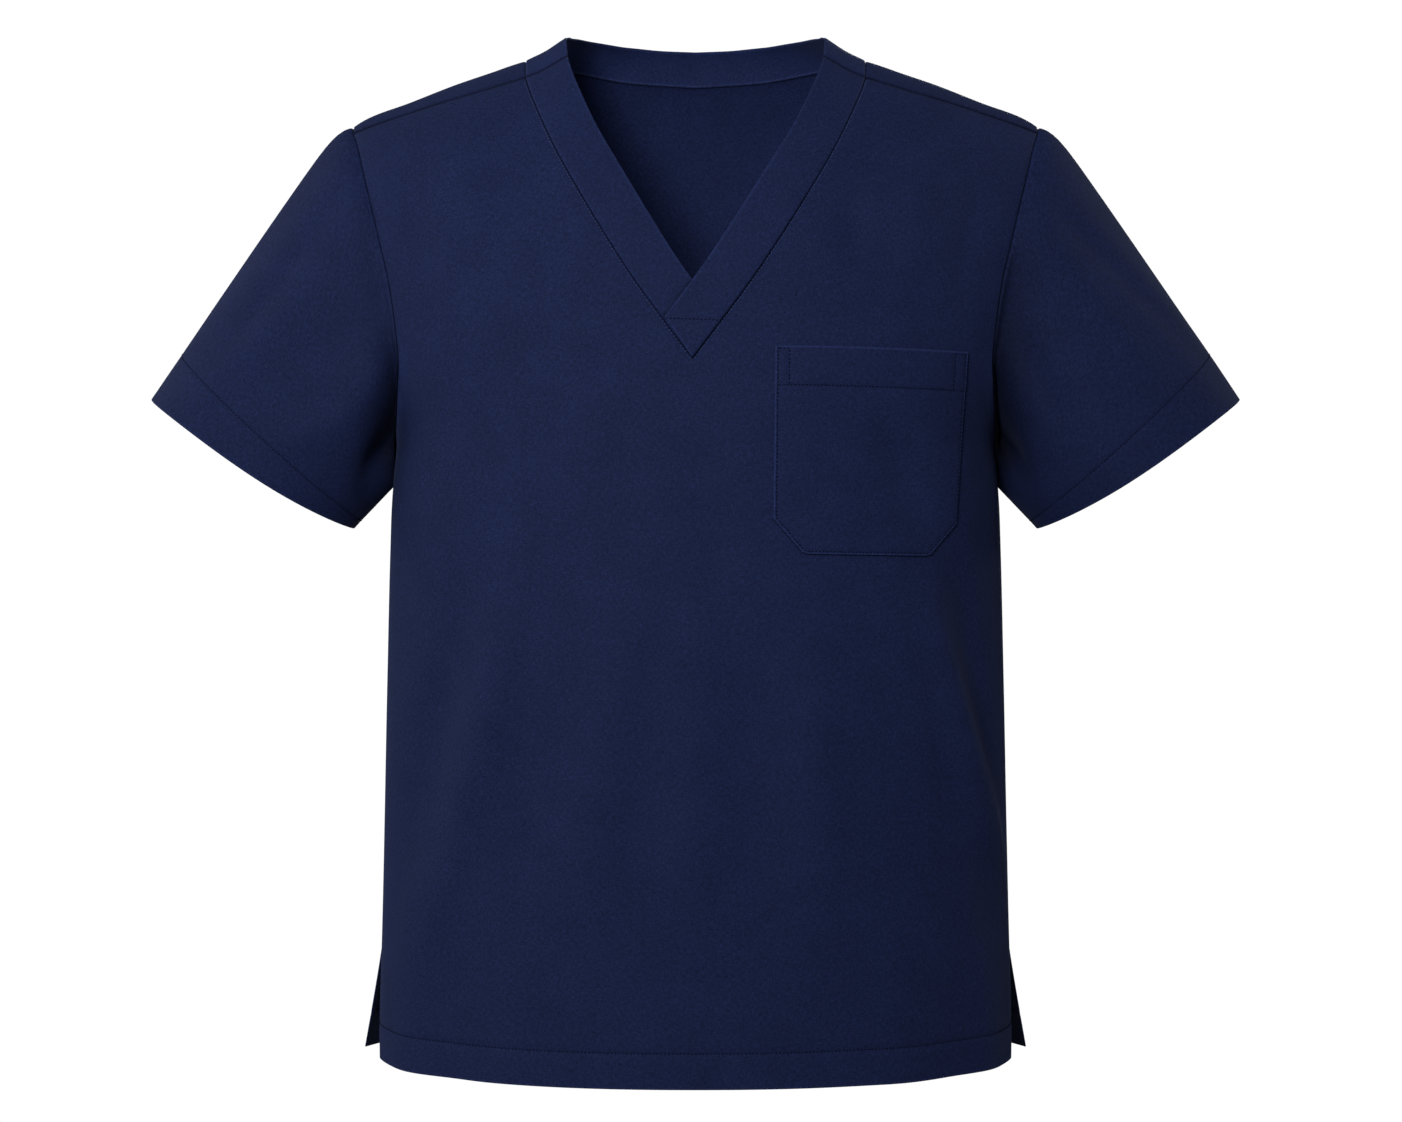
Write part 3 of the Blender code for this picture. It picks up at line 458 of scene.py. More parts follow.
def climb_at(side, across, height):
    """The climb angle of the torso form at a place seen from the front or the back."""
    share = np.clip((height - CHEST_HEIGHT) / (ridge_height(across) - CHEST_HEIGHT), 0.0, 1.0)
    return np.arcsin(share ** (1.0 / rise_power(side)))


def turn_at(across, height):
    """The turn angle of the torso form at a place seen from the front or the back."""
    share = np.clip(np.abs(across) / half_width(height), 0.0, 1.0)
    return np.sign(across) * np.arcsin(share ** (SECTION_SQUARENESS / 2.0))


def torso_point(side, across, height, turn, climb):
    """A point of the torso form: the section's depth there, leaning in by cos(climb) to a power."""
    back_power = smooth(np.abs(across), UPPER_BACK["across"], UPPER_BACK["power"])
    power = np.where(side < 0, 1.0, back_power)
    reach = side * depth(side, height) * squarish(np.cos(turn)) - SHOULDER_LINE_DEPTH
    fore = SHOULDER_LINE_DEPTH + reach * np.cos(climb) ** power
    return paired(across, fore, height)


def torso_at_climb(side, turn, climb):
    """Points of the torso form by turn and climb; past 90 degrees they cross the ridge."""
    turn, climb = np.broadcast_arrays(np.asarray(turn, float), np.asarray(climb, float))
    over = climb > math.pi / 2
    side = np.where(over, -side, side)
    climb = np.where(over, math.pi - climb, climb)
    rise = np.sin(climb) ** rise_power(side)
    across = half_width(CHEST_HEIGHT) * squarish(np.sin(turn))
    for _ in range(FORM_ROUNDS):
        height = CHEST_HEIGHT + (ridge_height(across) - CHEST_HEIGHT) * rise
        across = half_width(height) * squarish(np.sin(turn))
    return torso_point(side, across, height, turn, climb)


def torso_at_height(side, turn, height):
    """Points of the torso form by turn and height, for the part below the armholes."""
    turn, height = np.broadcast_arrays(np.asarray(turn, float), np.asarray(height, float))
    across = half_width(height) * squarish(np.sin(turn))
    return torso_point(side, across, height, turn, climb_at(side, across, height))


def form_outward(form, side, turn, up):
    """Unit normals of the torso form, crossing its slopes along turn and along climb or height."""
    round_slope = form(side, turn + SLOPE_STEP, up) - form(side, turn - SLOPE_STEP, up)
    up_slope = form(side, turn, up + SLOPE_STEP) - form(side, turn, up - SLOPE_STEP)
    return unit(-side * np.cross(round_slope, up_slope))


def tube_outward(grid):
    """Unit normals of a tube's grid, crossing its two directions."""
    around = np.roll(grid, -1, axis=1) - np.roll(grid, 1, axis=1)
    return unit(np.cross(around, np.gradient(grid, axis=0)))


def armhole_angles(side, share):
    """Turn and climb of the armhole, from the underarm at 0 to the shoulder seam at 1."""
    name = "front" if side < 0 else "back"
    return [np.radians(along(ARMHOLE[name + angle], share)) for angle in ("_turn", "_climb")]


def arm_edge(side, share):
    """The armhole on the wearer's left as an edge of a patch in turn and climb."""
    return paired(*armhole_angles(side, share))


def neckline(edge, share, hand):
    """One edge of the V band as seen from the front, from the shoulder seam down."""
    across, height = along(NECKLINE[edge + "_across"], share), along(NECKLINE[edge + "_height"], share)
    return hand * across + VEE_OFFSET * ease(share), height


def front_neck(edge, share, hand):
    """Turn and climb of one edge of the V band, from the shoulder seam down."""
    across, height = neckline(edge, share, hand)
    return paired(turn_at(across, height), climb_at(FRONT, across, height))


def back_neck(edge, share):
    """Turn and climb of one edge of the back band, from the shoulder seam to the centre."""
    first_turn, first_climb = front_neck(edge, np.array(0.0), 1)
    turns = np.append(first_turn, np.radians(BACK_NECK[edge + "_turn"]))
    climbs = np.append(math.pi - first_climb, np.radians(BACK_NECK[edge + "_climb"]))
    return paired(along(turns, share), along(climbs, share))


def shoulder_edge(side, share):
    """The shoulder seam on the wearer's left in turn and climb, from neck to armhole."""
    across = SHOULDER_SEAM["across"][0] + share * np.ptp(SHOULDER_SEAM["across"])
    height = smooth(across, SHOULDER_SEAM["across"], SHOULDER_SEAM["height"])
    climb = climb_at(FRONT, across, height)
    edge = paired(turn_at(across, height), climb if side == FRONT else math.pi - climb)
    edge[-1] = arm_edge(side, np.array(1.0))
    return edge


def mirrored(edge):
    """The same edge in turn and climb on the wearer's right."""
    return edge * np.array([-1.0, 1.0])


def both_sides(half, other=None):
    """An edge across a panel, from the wearer's right side to the left, out of its half."""
    right = mirrored(half if other is None else other)
    return np.concatenate([right[:0:-1], half])


def vent_share(height):
    """How far below the top of the side vents a height lies, 0 there and 1 at the hem."""
    return np.clip((VENT_TOP_HEIGHT - height) / (VENT_TOP_HEIGHT - HEM_HEIGHT), 0, 1)


def crease_lift(crease, right, up):
    """How far one crease lifts the cloth at places to the right of and above its middle.

    It is depth * exp(-(off / width)^2) * (1 - (along / half_length)^2)^2, where along runs
    up the leaning crease and off is the distance beside its bowed middle line.
    """
    lean = math.radians(crease["lean"])
    run = (right * math.sin(lean) + up * math.cos(lean)) / crease["half_length"]
    off = right * math.cos(lean) - up * math.sin(lean) + crease.get("bow", 0.0) * (run ** 2 - 0.5)
    return crease["depth"] * bell(off, crease["width"]) * np.clip(1 - run ** 2, 0, 1) ** 2


def crease_room(side, across, height):
    """How freely cloth creases: 0 at the side seams and armholes, little at the hem, else 1."""
    edge = torso_at_climb(side, *armhole_angles(side, np.linspace(0, 1, CLEARANCE_STEPS)))
    arm = np.interp(height, edge[:, 2], edge[:, 0])
    clear = np.where(height > edge[0, 2], arm, half_width(height)) - np.abs(across)
    return ease(clear / CREASE_FREE) * ease(CREASE_AT_HEM + (height - HEM_HEIGHT) / CREASE_HEM_REACH)


def relief(side, points, turn):
    """How far folds and creases lift the cloth of the front or back off the torso form.

    A hanging fold is depth * exp(-(turn off the fold / spread)^2), easing in below its top.
    """
    across, height = points[..., 0], points[..., 2]
    folds, creased = np.zeros_like(height), np.zeros_like(height)
    for fold in chosen(PANEL_FOLDS, "side", side):
        fade = ease((fold["top"] - height) / (fold["top"] - HEM_HEIGHT))
        folds += fold["depth"] * bell(np.degrees(turn) - fold["turn"], fold["spread"]) * fade
    for crease in chosen(CREASES, "side", side):
        creased += crease_lift(crease, across - crease["across"], height - crease["height"])
    return folds + creased * crease_room(side, across, height)


def spaced(start, end, step, marks=()):
    """Places from start to end about a step apart, with the marks put in and room round them."""
    even = np.linspace(start, end, max(3, int(round((end - start) / step)) + 1))
    marks = np.sort(np.asarray(marks, dtype=float))
    marks = marks[(marks > start) & (marks < end)]
    if len(marks):
        clear = np.abs(even[:, None] - marks[None]).min(axis=1) > MARK_ROOM * step
        clear[[0, -1]] = True
        even = even[clear]
    return np.unique(np.concatenate([even, marks]))


def distance_to(points, lines):
    """The distance from each point to the nearest of several lines, or a metre with no line.

    The nearest point of a line is found first, then each of the two stretches beside it is
    measured square on.
    """
    flat = points.reshape(-1, 3)
    best = np.ones(len(flat))
    for line in lines:
        nearest = np.empty(len(flat), dtype=int)
        size = np.sum(line ** 2, axis=1)
        for start in range(0, len(flat), POINTS_AT_ONCE):
            part = slice(start, start + POINTS_AT_ONCE)
            nearest[part] = np.argmin(size[None] - 2 * flat[part] @ line.T, axis=1)
        for shift in (-1, 0):
            first = np.clip(nearest + shift, 0, len(line) - 2)
            step = line[first + 1] - line[first]
            length = np.maximum(np.sum(step ** 2, axis=1), NO_LENGTH)
            share = np.clip(np.sum((flat - line[first]) * step, axis=1) / length, 0, 1)
            gap = np.linalg.norm(flat - line[first] - share[:, None] * step, axis=1)
            best = np.minimum(best, gap)
    return best.reshape(points.shape[:-1])


def seam_sink(points, seams):
    """How far cloth sinks beside a seam: a sharp dip at the seam and a soft shoulder by it.

    It is depth * (exp(-(gap / width)^2) + share * exp(-(gap / shoulder)^2)).
    """
    gap = distance_to(points, seams)
    return ROLL_DEPTH * bell(gap, ROLL_WIDTH) + ROLL_SHOULDER_SHARE * ROLL_DEPTH * bell(gap, ROLL_SHOULDER)


def stitch_sink(points, stitch_lines):
    """How far cloth sinks along stitch lines, as a share of the depth: exp(-(gap / width)^2)."""
    return bell(distance_to(points, stitch_lines), STITCH_TROUGH_WIDTH)


def edge_sink(points, edges, radius):
    """How far the face of a folded edge curves in, as a quarter circle of the radius."""
    inside = np.clip(radius - distance_to(points, edges), 0, radius)
    return radius - np.sqrt(np.maximum(radius ** 2 - inside ** 2, 0))


def hem_wall(layers, curl, faces=2):
    """How thick cloth is: one layer, or a folded hem where layers is 1, less its curled faces."""
    return CLOTH + (HEM_FOLD - CLOTH) * layers - faces * curl


def folded(gap, reach):
    """1 within the reach of a fold and 0 past it, with a soft step at its end."""
    return 1 - ease((gap - reach) / FOLD_STEP)


def painted_light_and_shade(points, seams, edges, sewn=0.0, edge_highlight=PAINTED_EDGE_HIGHLIGHT):
    """How light the cloth is beside its seams, edges and stitches, as a factor of its colour.

    It is painted shade in a seam's groove, 1 - dark * exp(-(gap / reach)^2), a painted highlight along
    the crest of an edge a millimetre in, 1 + light * exp(-((gap - place) / reach)^2), and painted shade
    along the stitch lines.
    """
    painted_groove_shade = bell(distance_to(points, seams), GROOVE_REACH)
    painted_highlight = bell(distance_to(points, seams + edges) - CREST_PLACE, CREST_REACH)
    return (1 + edge_highlight * painted_highlight) * (1 - PAINTED_GROOVE_SHADE * painted_groove_shade) * (1 - STITCH_SHADE * sewn)


def grid_cells(rows, columns):
    """The rows and the columns of the four corners of every cell of a grid, round each cell."""
    row, column = np.meshgrid(np.arange(rows), np.arange(columns), indexing="ij")
    return row.reshape(-1, 1) + np.array([0, 0, 1, 1]), column.reshape(-1, 1) + np.array([0, 1, 1, 0])


def quad_mesh(name, points, faces, corners=None):
    """A smooth mesh of four-sided faces, with a cloth map where its corners are given."""
    mesh = bpy.data.meshes.new(name)
    mesh.vertices.add(len(points))
    mesh.vertices.foreach_set("co", points.astype(np.float32).ravel())
    mesh.loops.add(faces.size)
    mesh.loops.foreach_set("vertex_index", faces.astype(np.int32).ravel())
    mesh.polygons.add(len(faces))
    mesh.polygons.foreach_set("loop_start", np.arange(0, faces.size, 4, dtype=np.int32))
    mesh.polygons.foreach_set("use_smooth", np.ones(len(faces), dtype=bool))
    if corners is not None:
        mesh.uv_layers.new(name="cloth").uv.foreach_set("vector", corners.astype(np.float32).ravel())
    mesh.update(calc_edges=True)
    mesh.validate()
    return mesh


def shell(name, outer, inner, outward, flat, painted_lightness, closed=False, kept=None, shade=0.0):
    """A closed shell between two grids of points, with its cloth map in metres.

    The outer cells, the inner cells turned over, and a rim along each border cell's free side.
    flat gives the cloth's own (u, v) in metres at every grid point, one more column on a tube,
    and the lightness its painted light and shade there. The cloth's reverse is a little paler than its
    face, and darker by the share "shade", a painted shade.
    """
    rows, columns = outer.shape[:2]
    row, column = grid_cells(rows - 1, columns - (not closed))
    if kept is not None:
        row, column = row[kept.ravel()], column[kept.ravel()]
    skin = row * columns + column % columns
    mapped = row * (columns + closed) + column
    first = outer.reshape(-1, 3)[skin]
    facing = np.cross(first[:, 1] - first[:, 0], first[:, 3] - first[:, 0])
    if np.sum(facing * outward.reshape(-1, 3)[skin[:, 0]]) < 0:
        skin, mapped = skin[:, ::-1], mapped[:, ::-1]
    below = rows * columns
    sides = [skin, np.roll(skin, -1, axis=1), mapped, np.roll(mapped, -1, axis=1)]
    near, far, near_map, far_map = (side.ravel() for side in sides)
    on_rim = ~np.isin(near * below + far, far * below + near)
    near, far, near_map, far_map = (side[on_rim] for side in (near, far, near_map, far_map))
    rim = np.stack([far, near, near + below, far + below], axis=1)
    rim_map = np.stack([far_map, near_map, near_map, far_map], axis=1)
    faces = np.concatenate([skin, skin[:, ::-1] + below, rim])
    face_map = np.concatenate([mapped, mapped[:, ::-1], rim_map])
    points = np.concatenate([outer.reshape(-1, 3), inner.reshape(-1, 3)])
    used, numbers = np.unique(faces, return_inverse=True)
    mesh = quad_mesh(name, points[used], numbers.reshape(faces.shape), flat.reshape(-1, 2)[face_map])
    # The points carry the painted light and shade of both faces
    reverse = painted_lightness * REVERSE_LIGHT * (1 - shade)
    painted_shading = mesh.attributes.new("painted_light_and_shade", "FLOAT", "POINT")
    both_faces = np.concatenate([painted_lightness.ravel(), np.ravel(reverse)])
    painted_shading.data.foreach_set("value", both_faces[used].astype(np.float32))
    return mesh


def put(name, data):
    """A new object in the scene."""
    item = bpy.data.objects.new(name, data)
    bpy.context.scene.collection.objects.link(item)
    return item


def add_piece(name, mesh, material):
    """Put a mesh into the scene as a piece of the top, in a material of the given name."""
    piece = put(name, mesh)
    mesh.materials.append(bpy.data.materials[material])
    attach(piece, "root")
    return piece


def add_cloth(name, node, outer, wall, outward, *looks, **form):
    """Add a cloth piece in place of its CAD node; gives the piece and its inner face's points."""
    inner = outer - outward * np.maximum(wall, THIN_RIM)[..., None]
    piece = add_piece(name, shell(name, outer, inner, outward, *looks, **form), "navy_poplin")
    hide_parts(node)
    return piece, inner


# How far turns and climbs run along the cloth
arc_turns = np.linspace(0, math.pi / 2, ARC_STEPS)
arc_run = arc_length(torso_at_height(FRONT, arc_turns, CHEST_HEIGHT))
climb_run = arc_length(torso_at_climb(FRONT, MAP_TURN, arc_turns))
HALF_GIRTH = arc_run[-1]


def turn_share(arc):
    """The share of the turn at a share of the cloth from the centre line to the side."""
    return np.sign(arc) * np.interp(np.abs(arc), arc_run / HALF_GIRTH, arc_turns / (math.pi / 2))


def cloth_map(turn, up, by_climb):
    """Where cloth lay when it was flat: along the section, and up the form."""
    run = np.sign(turn) * np.interp(np.abs(turn), arc_turns, arc_run)
    if by_climb:
        rise = np.interp(np.where(up > math.pi / 2, math.pi - up, up), arc_turns, climb_run)
        up = CHEST_HEIGHT + np.where(up > math.pi / 2, 2 * climb_run[-1] - rise, rise)
    return paired(run, up)


def panel_columns(reach):
    """Where a panel's columns stand, as turn shares: close beside the sides and the neck's end."""
    reach_arc = np.interp(reach, arc_turns / (math.pi / 2), arc_run)
    marks = [reach_arc - CLOSE, [reach_arc], reach_arc + CLOSE, HALF_GIRTH - CLOSE]
    marks = np.concatenate(marks + [HALF_GIRTH - VENT_STITCH + BESIDE])
    shares = turn_share(spaced(0, HALF_GIRTH, MESH_STEP, marks) / HALF_GIRTH)
    shares[np.argmin(np.abs(shares - reach))] = reach
    return np.concatenate([-shares[:0:-1], shares])


def lower_cloth(side, place):
    """Points, normals, turns and map of a panel from its hem up to the underarm."""
    marks = np.concatenate([HEM_HEIGHT + CLOSE, HEM_HEIGHT + HEM_STITCH + BESIDE, [VENT_TOP_HEIGHT]])
    height = spaced(HEM_HEIGHT, UNDERARM_HEIGHT, MESH_STEP, marks)[:, None]
    opening = vent_share(height) ** VENT_CURVE
    turn = place * (math.pi / 2 + (VENT_TURN[side] - math.pi / 2) * opening)
    grid = torso_at_height(side, turn, height)
    outward = form_outward(torso_at_height, side, turn, height)
    if side == BACK:
        grid[..., 0] += np.sign(place) * VENT_FLARE * opening * np.abs(place) ** VENT_FLARE_POWER
    return grid, outward, turn, cloth_map(turn, height, False)


def upper_cloth(side, angles):
    """Points, normals, turns and map of a part of a panel given by turn and climb."""
    turn, climb = angles[..., 0], angles[..., 1]
    outward = form_outward(torso_at_climb, side, turn, climb)
    return torso_at_climb(side, turn, climb), outward, turn, cloth_map(turn, climb, True)


def drawn(bottom, top, left, right, u, v):
    """Angles ruled from bottom to top, drawn onto both side edges by (1 - u)^4 and u^4."""
    ruled = between(bottom[None], top[None], v[..., None])
    u = u[None, :, None]
    to_left, to_right = left[:, None] - ruled[:, :1], right[:, None] - ruled[:, -1:]
    return ruled + (1 - u) ** SIDE_PULL * to_left + u ** SIDE_PULL * to_right


def patch(lower, top, side, arm_share, close):
    """A panel's part from the underarm to its top, drawn onto a share of its armholes.

    u runs from 0 to 1 with the turn along its bottom. Its rows stand close below the top:
    there each column keeps its own distances.
    """
    climb = climb_at(side, lower[0][-1, :, 0], UNDERARM_HEIGHT)
    bottom = paired(lower[2][-1], climb)
    bottom[-1] = arm_edge(side, np.array(0.0))
    bottom[0] = mirrored(bottom[-1])
    even = np.linspace(0, 1, max(4, int(round(ARM_LENGTH * arm_share / MESH_STEP))))
    start = (close[:, None] * CLOSE[::-1] / arc_between(side, bottom, top)[:, None]).T
    rows = [even[1:, None] * (1 - start[0] * CLOSE_SPREAD), 1 - start, np.ones((1, len(top)))]
    rows = np.concatenate(rows)
    u = (bottom[:, 0] - bottom[0, 0]) / (bottom[-1, 0] - bottom[0, 0])
    left = mirrored(arm_edge(side, rows[:, 0] * arm_share))
    return drawn(bottom, top, left, arm_edge(side, rows[:, -1] * arm_share), u, rows)


def arc_between(side, bottom, top):
    """The length of the form's surface from each bottom angle to its top angle."""
    angles = between(bottom[None], top[None], np.linspace(0, 1, BETWEEN_STEPS)[:, None, None])
    points = torso_at_climb(side, angles[..., 0], angles[..., 1])
    return np.linalg.norm(np.diff(points, axis=0), axis=2).sum(axis=0)


def front_cloth():
    """The front's face on the torso form, from the hem to the V neck and shoulder seams."""
    reach = NECK_REACH[FRONT]
    place = panel_columns(reach)
    lower = lower_cloth(FRONT, place)
    half = place[place >= 0]
    in_neck = half <= reach
    neck_share = 1 - half[in_neck] / reach
    seam = shoulder_edge(FRONT, (half[~in_neck] - reach) / (1 - reach))
    left = np.concatenate([front_neck("outer", neck_share, 1), seam])
    right = np.concatenate([mirrored(front_neck("outer", neck_share, -1)), seam])
    by_neck = ease((reach + NECK_BLEND - np.abs(place)) / NECK_BLEND)
    close = SHOULDER_SLANT + (NECK_SLANT - SHOULDER_SLANT) * by_neck
    upper = upper_cloth(FRONT, patch(lower, both_sides(left, right), FRONT, 1.0, close))
    return [np.concatenate(pair) for pair in zip(lower, upper)], None, place


def back_cloth():
    """The back's face: its main part up to the neck seam, and a strip over each shoulder."""
    reach = NECK_REACH[BACK]
    place = panel_columns(reach)
    lower = lower_cloth(BACK, place)
    half = place[place >= 0]
    in_neck = half <= reach
    neck = back_neck("outer", 1 - (1 - STRIP_NECK_SHARE) * half[in_neck] / reach)
    strip_share = np.concatenate([[0], (half[~in_neck] - reach) / (1 - reach)])
    strip_start = between(neck[-1:], arm_edge(BACK, np.array(STRIP_ARM_SHARE)), strip_share[:, None])
    top = both_sides(np.concatenate([neck, strip_start[1:]]))
    close = np.full(len(place), SHOULDER_SLANT)
    main = upper_cloth(BACK, patch(lower, top, BACK, STRIP_ARM_SHARE, close))

    rows = spaced(0, STRIP_LENGTH, MESH_STEP, STRIP_LENGTH - CLOSE)[1:] / STRIP_LENGTH
    neck_side = back_neck("outer", STRIP_NECK_SHARE * (1 - rows))
    arm_side = arm_edge(BACK, STRIP_ARM_SHARE + (1 - STRIP_ARM_SHARE) * rows)
    seam = shoulder_edge(BACK, strip_share)
    left_strip = drawn(strip_start, seam, neck_side, arm_side, strip_share, rows[:, None])
    middle = np.linspace(-1, 1, 2 * np.sum(in_neck) - 1)[1:-1]
    gap = left_strip[:, :1] * paired(middle, 1.0)
    strips = upper_cloth(BACK, np.concatenate([mirrored(left_strip)[:, ::-1], gap, left_strip], axis=1))

    grids = [np.concatenate(parts) for parts in zip(lower, main, strips)]
    kept = np.ones((len(grids[0]) - 1, len(place) - 1), dtype=bool)
    beside = np.sum(~in_neck)
    kept[-len(rows):, beside:beside + len(middle) + 1] = False
    return grids, kept, place


def panel_borders(grid, kept):
    """A panel's seam lines and free edges, as lines of its own border points."""
    free = grid[:, 0, 2] <= VENT_TOP_HEIGHT + TINY
    seams = [grid[~free, 0], grid[~free, -1]]
    if kept is None:
        seams.append(grid[-1])
    else:
        hole_rows, hole_columns = np.nonzero(~kept)
        base, left, right = hole_rows.min(), hole_columns.min(), hole_columns.max() + 1
        seams += [grid[base, left:right + 1], grid[base:, left], grid[base:, right]]
        seams += [grid[-1, :left + 1], grid[-1, right:]]
    return seams, [grid[0], grid[free, 0], grid[free, -1]]


def vent_line(grid, outward, place, hand):
    """The stitch line beside a vent, up from the hem stitch to the vent's top."""
    height = grid[:, 0, 2]
    rows = (height >= HEM_HEIGHT + HEM_STITCH) & (height <= VENT_TOP_HEIGHT + TINY)
    wanted = turn_share((HALF_GIRTH - VENT_STITCH) / HALF_GIRTH)
    column = np.argmin(np.abs(place - hand * wanted))
    return grid[rows, column], outward[rows, column]


def make_panel(name, node, side):
    """The front or the back as one shell, with rolled seams, folded hem and vent edges."""
    (grid, outward, turn, flat), kept, place = front_cloth() if side == FRONT else back_cloth()
    grid = grid + outward * relief(side, grid, turn)[..., None]
    seams, edges = panel_borders(grid, kept)
    hem_row = np.argmin(np.abs(grid[:, 0, 2] - HEM_HEIGHT - HEM_STITCH))
    paths = [(grid[hem_row], outward[hem_row])]
    paths += [vent_line(grid, outward, place, hand) for hand in (-1, 1)]
    sewn = stitch_sink(grid, [path[0] for path in paths])
    vent_gap = distance_to(grid, edges[1:])
    layers = np.clip(folded(distance_to(grid, edges[:1]), HEM_DEPTH) + folded(vent_gap, VENT_FOLD), 0, 1)
    curl = edge_sink(grid, edges, HEM_FOLD / 2)
    outer = grid - outward * (seam_sink(grid, seams) + STITCH_TROUGH * sewn + curl)[..., None]
    wall = hem_wall(layers, curl)
    # Painted shade in the grooves of the shoulder seams
    shoulders = [grid[-1, hand * place >= NECK_REACH[side]] for hand in (-1, 1)]
    shoulder_shade = PAINTED_SHOULDER_SHADE * bell(distance_to(grid, shoulders), SHOULDER_GROOVE)
    painted_lightness = painted_light_and_shade(grid, seams, edges, sewn) * (1 - shoulder_shade)
    # Painted light on the front beside the lower armholes, where the sleeves shade it
    if side == FRONT:
        low = bell(grid[..., 2] - ARM_LIGHT_HEIGHT, ARM_LIGHT_RUN)
        painted_lightness *= 1 + PAINTED_ARM_LIGHT * low * bell(distance_to(grid, seams[:2]), ARM_LIGHT_REACH)
    # Painted shade on the reverse beside the vents, inside the hollow seen through them
    in_vent = ease(VENT_SHADE_RISE * vent_share(grid[..., 2]))
    shade = VENT_SHADE * in_vent * bell(vent_gap, VENT_SHADE_REACH)
    piece, _ = add_cloth(name, node, outer, wall, outward, flat, painted_lightness, kept=kept, shade=shade)
    return piece, paths


def armhole_loop(hand):
    """The armhole from the shoulder seam round by the front, with the torso's normals.

    It follows the folds that the panels have on this hand. Each point's angle is its share of
    the armhole's length: 0 at the shoulder seam and 180 degrees under the arm.
    """
    parts = []
    down = np.linspace(1, 0, SLEEVE_STEPS)
    for side, share in ((FRONT, down), (BACK, down[::-1])):
        turn, climb = armhole_angles(side, share)
        edge = torso_at_climb(side, turn, climb)
        facing = form_outward(torso_at_climb, side, turn, climb)
        edge = edge + facing * relief(side, edge * np.array([hand, 1.0, 1.0]), hand * turn)[:, None]
        run = arc_length(edge)
        around = math.pi * (run / run[-1] + (side == BACK))
        parts.append((edge[:-1], facing[:-1], around[:-1]))
    return [np.concatenate(halves) for halves in zip(*parts)]


def sleeve_lift(hand, around, share, length, girth):
    """How far the sleeve's soft folds and its creases lift its cloth.

    A fold is depth * exp(-(off / spread)^2) * sin^2(pi * down^onset), and creases are laid on
    the sleeve's cloth as the panels' are on theirs.
    """
    degrees = np.degrees(around)
    folds = np.zeros((len(share), len(around), 1))
    creased = np.zeros_like(folds)
    for fold in SLEEVE_FOLDS:
        down = np.clip((share - fold["start"]) / (fold["end"] - fold["start"]), 0, 1)
        swell = np.sin(math.pi * down ** SLEEVE_FOLD_ONSET) ** 2
        folds += fold["depth"] * bell(degrees - fold["around"], fold["spread"])[None, :, None] * swell
    for crease in chosen(SLEEVE_CREASES, "hand", hand):
        off = (degrees - crease["around"] + 180) % 360 - 180
        beside = off[None, :, None] / 360 * girth
        creased += crease_lift(crease, beside, (share - crease["share"]) * length)
    return folds + ease(share / SLEEVE_CREASE_START) * creased


def sleeve_tuck(down, below, frontward):
    """How far the cloth moves out to the front and the back beside the underarm.

    It is tuck * exp(-((below - place) / spread)^2) * exp(-(down / reach)^2), and a narrow channel
    by the seam; below is in degrees from the underarm, and down in metres from the armhole.
    """
    tuck = SLEEVE_TUCK * bell(below - SLEEVE_TUCK_PLACE, SLEEVE_TUCK_SPREAD) * bell(down, SLEEVE_TUCK_REACH)
    first, full, fading, last = SLEEVE_CHANNEL_PLACES
    channel = ease((last - below) / (last - fading)) * ease((below - first) / (full - first))
    tuck = tuck + SLEEVE_CHANNEL * channel * bell(down, SLEEVE_CHANNEL_REACH)
    return tuck * ease(down / SLEEVE_TUCK_WALL) * np.sign(frontward) * np.array([0.0, 1.0, 0.0])


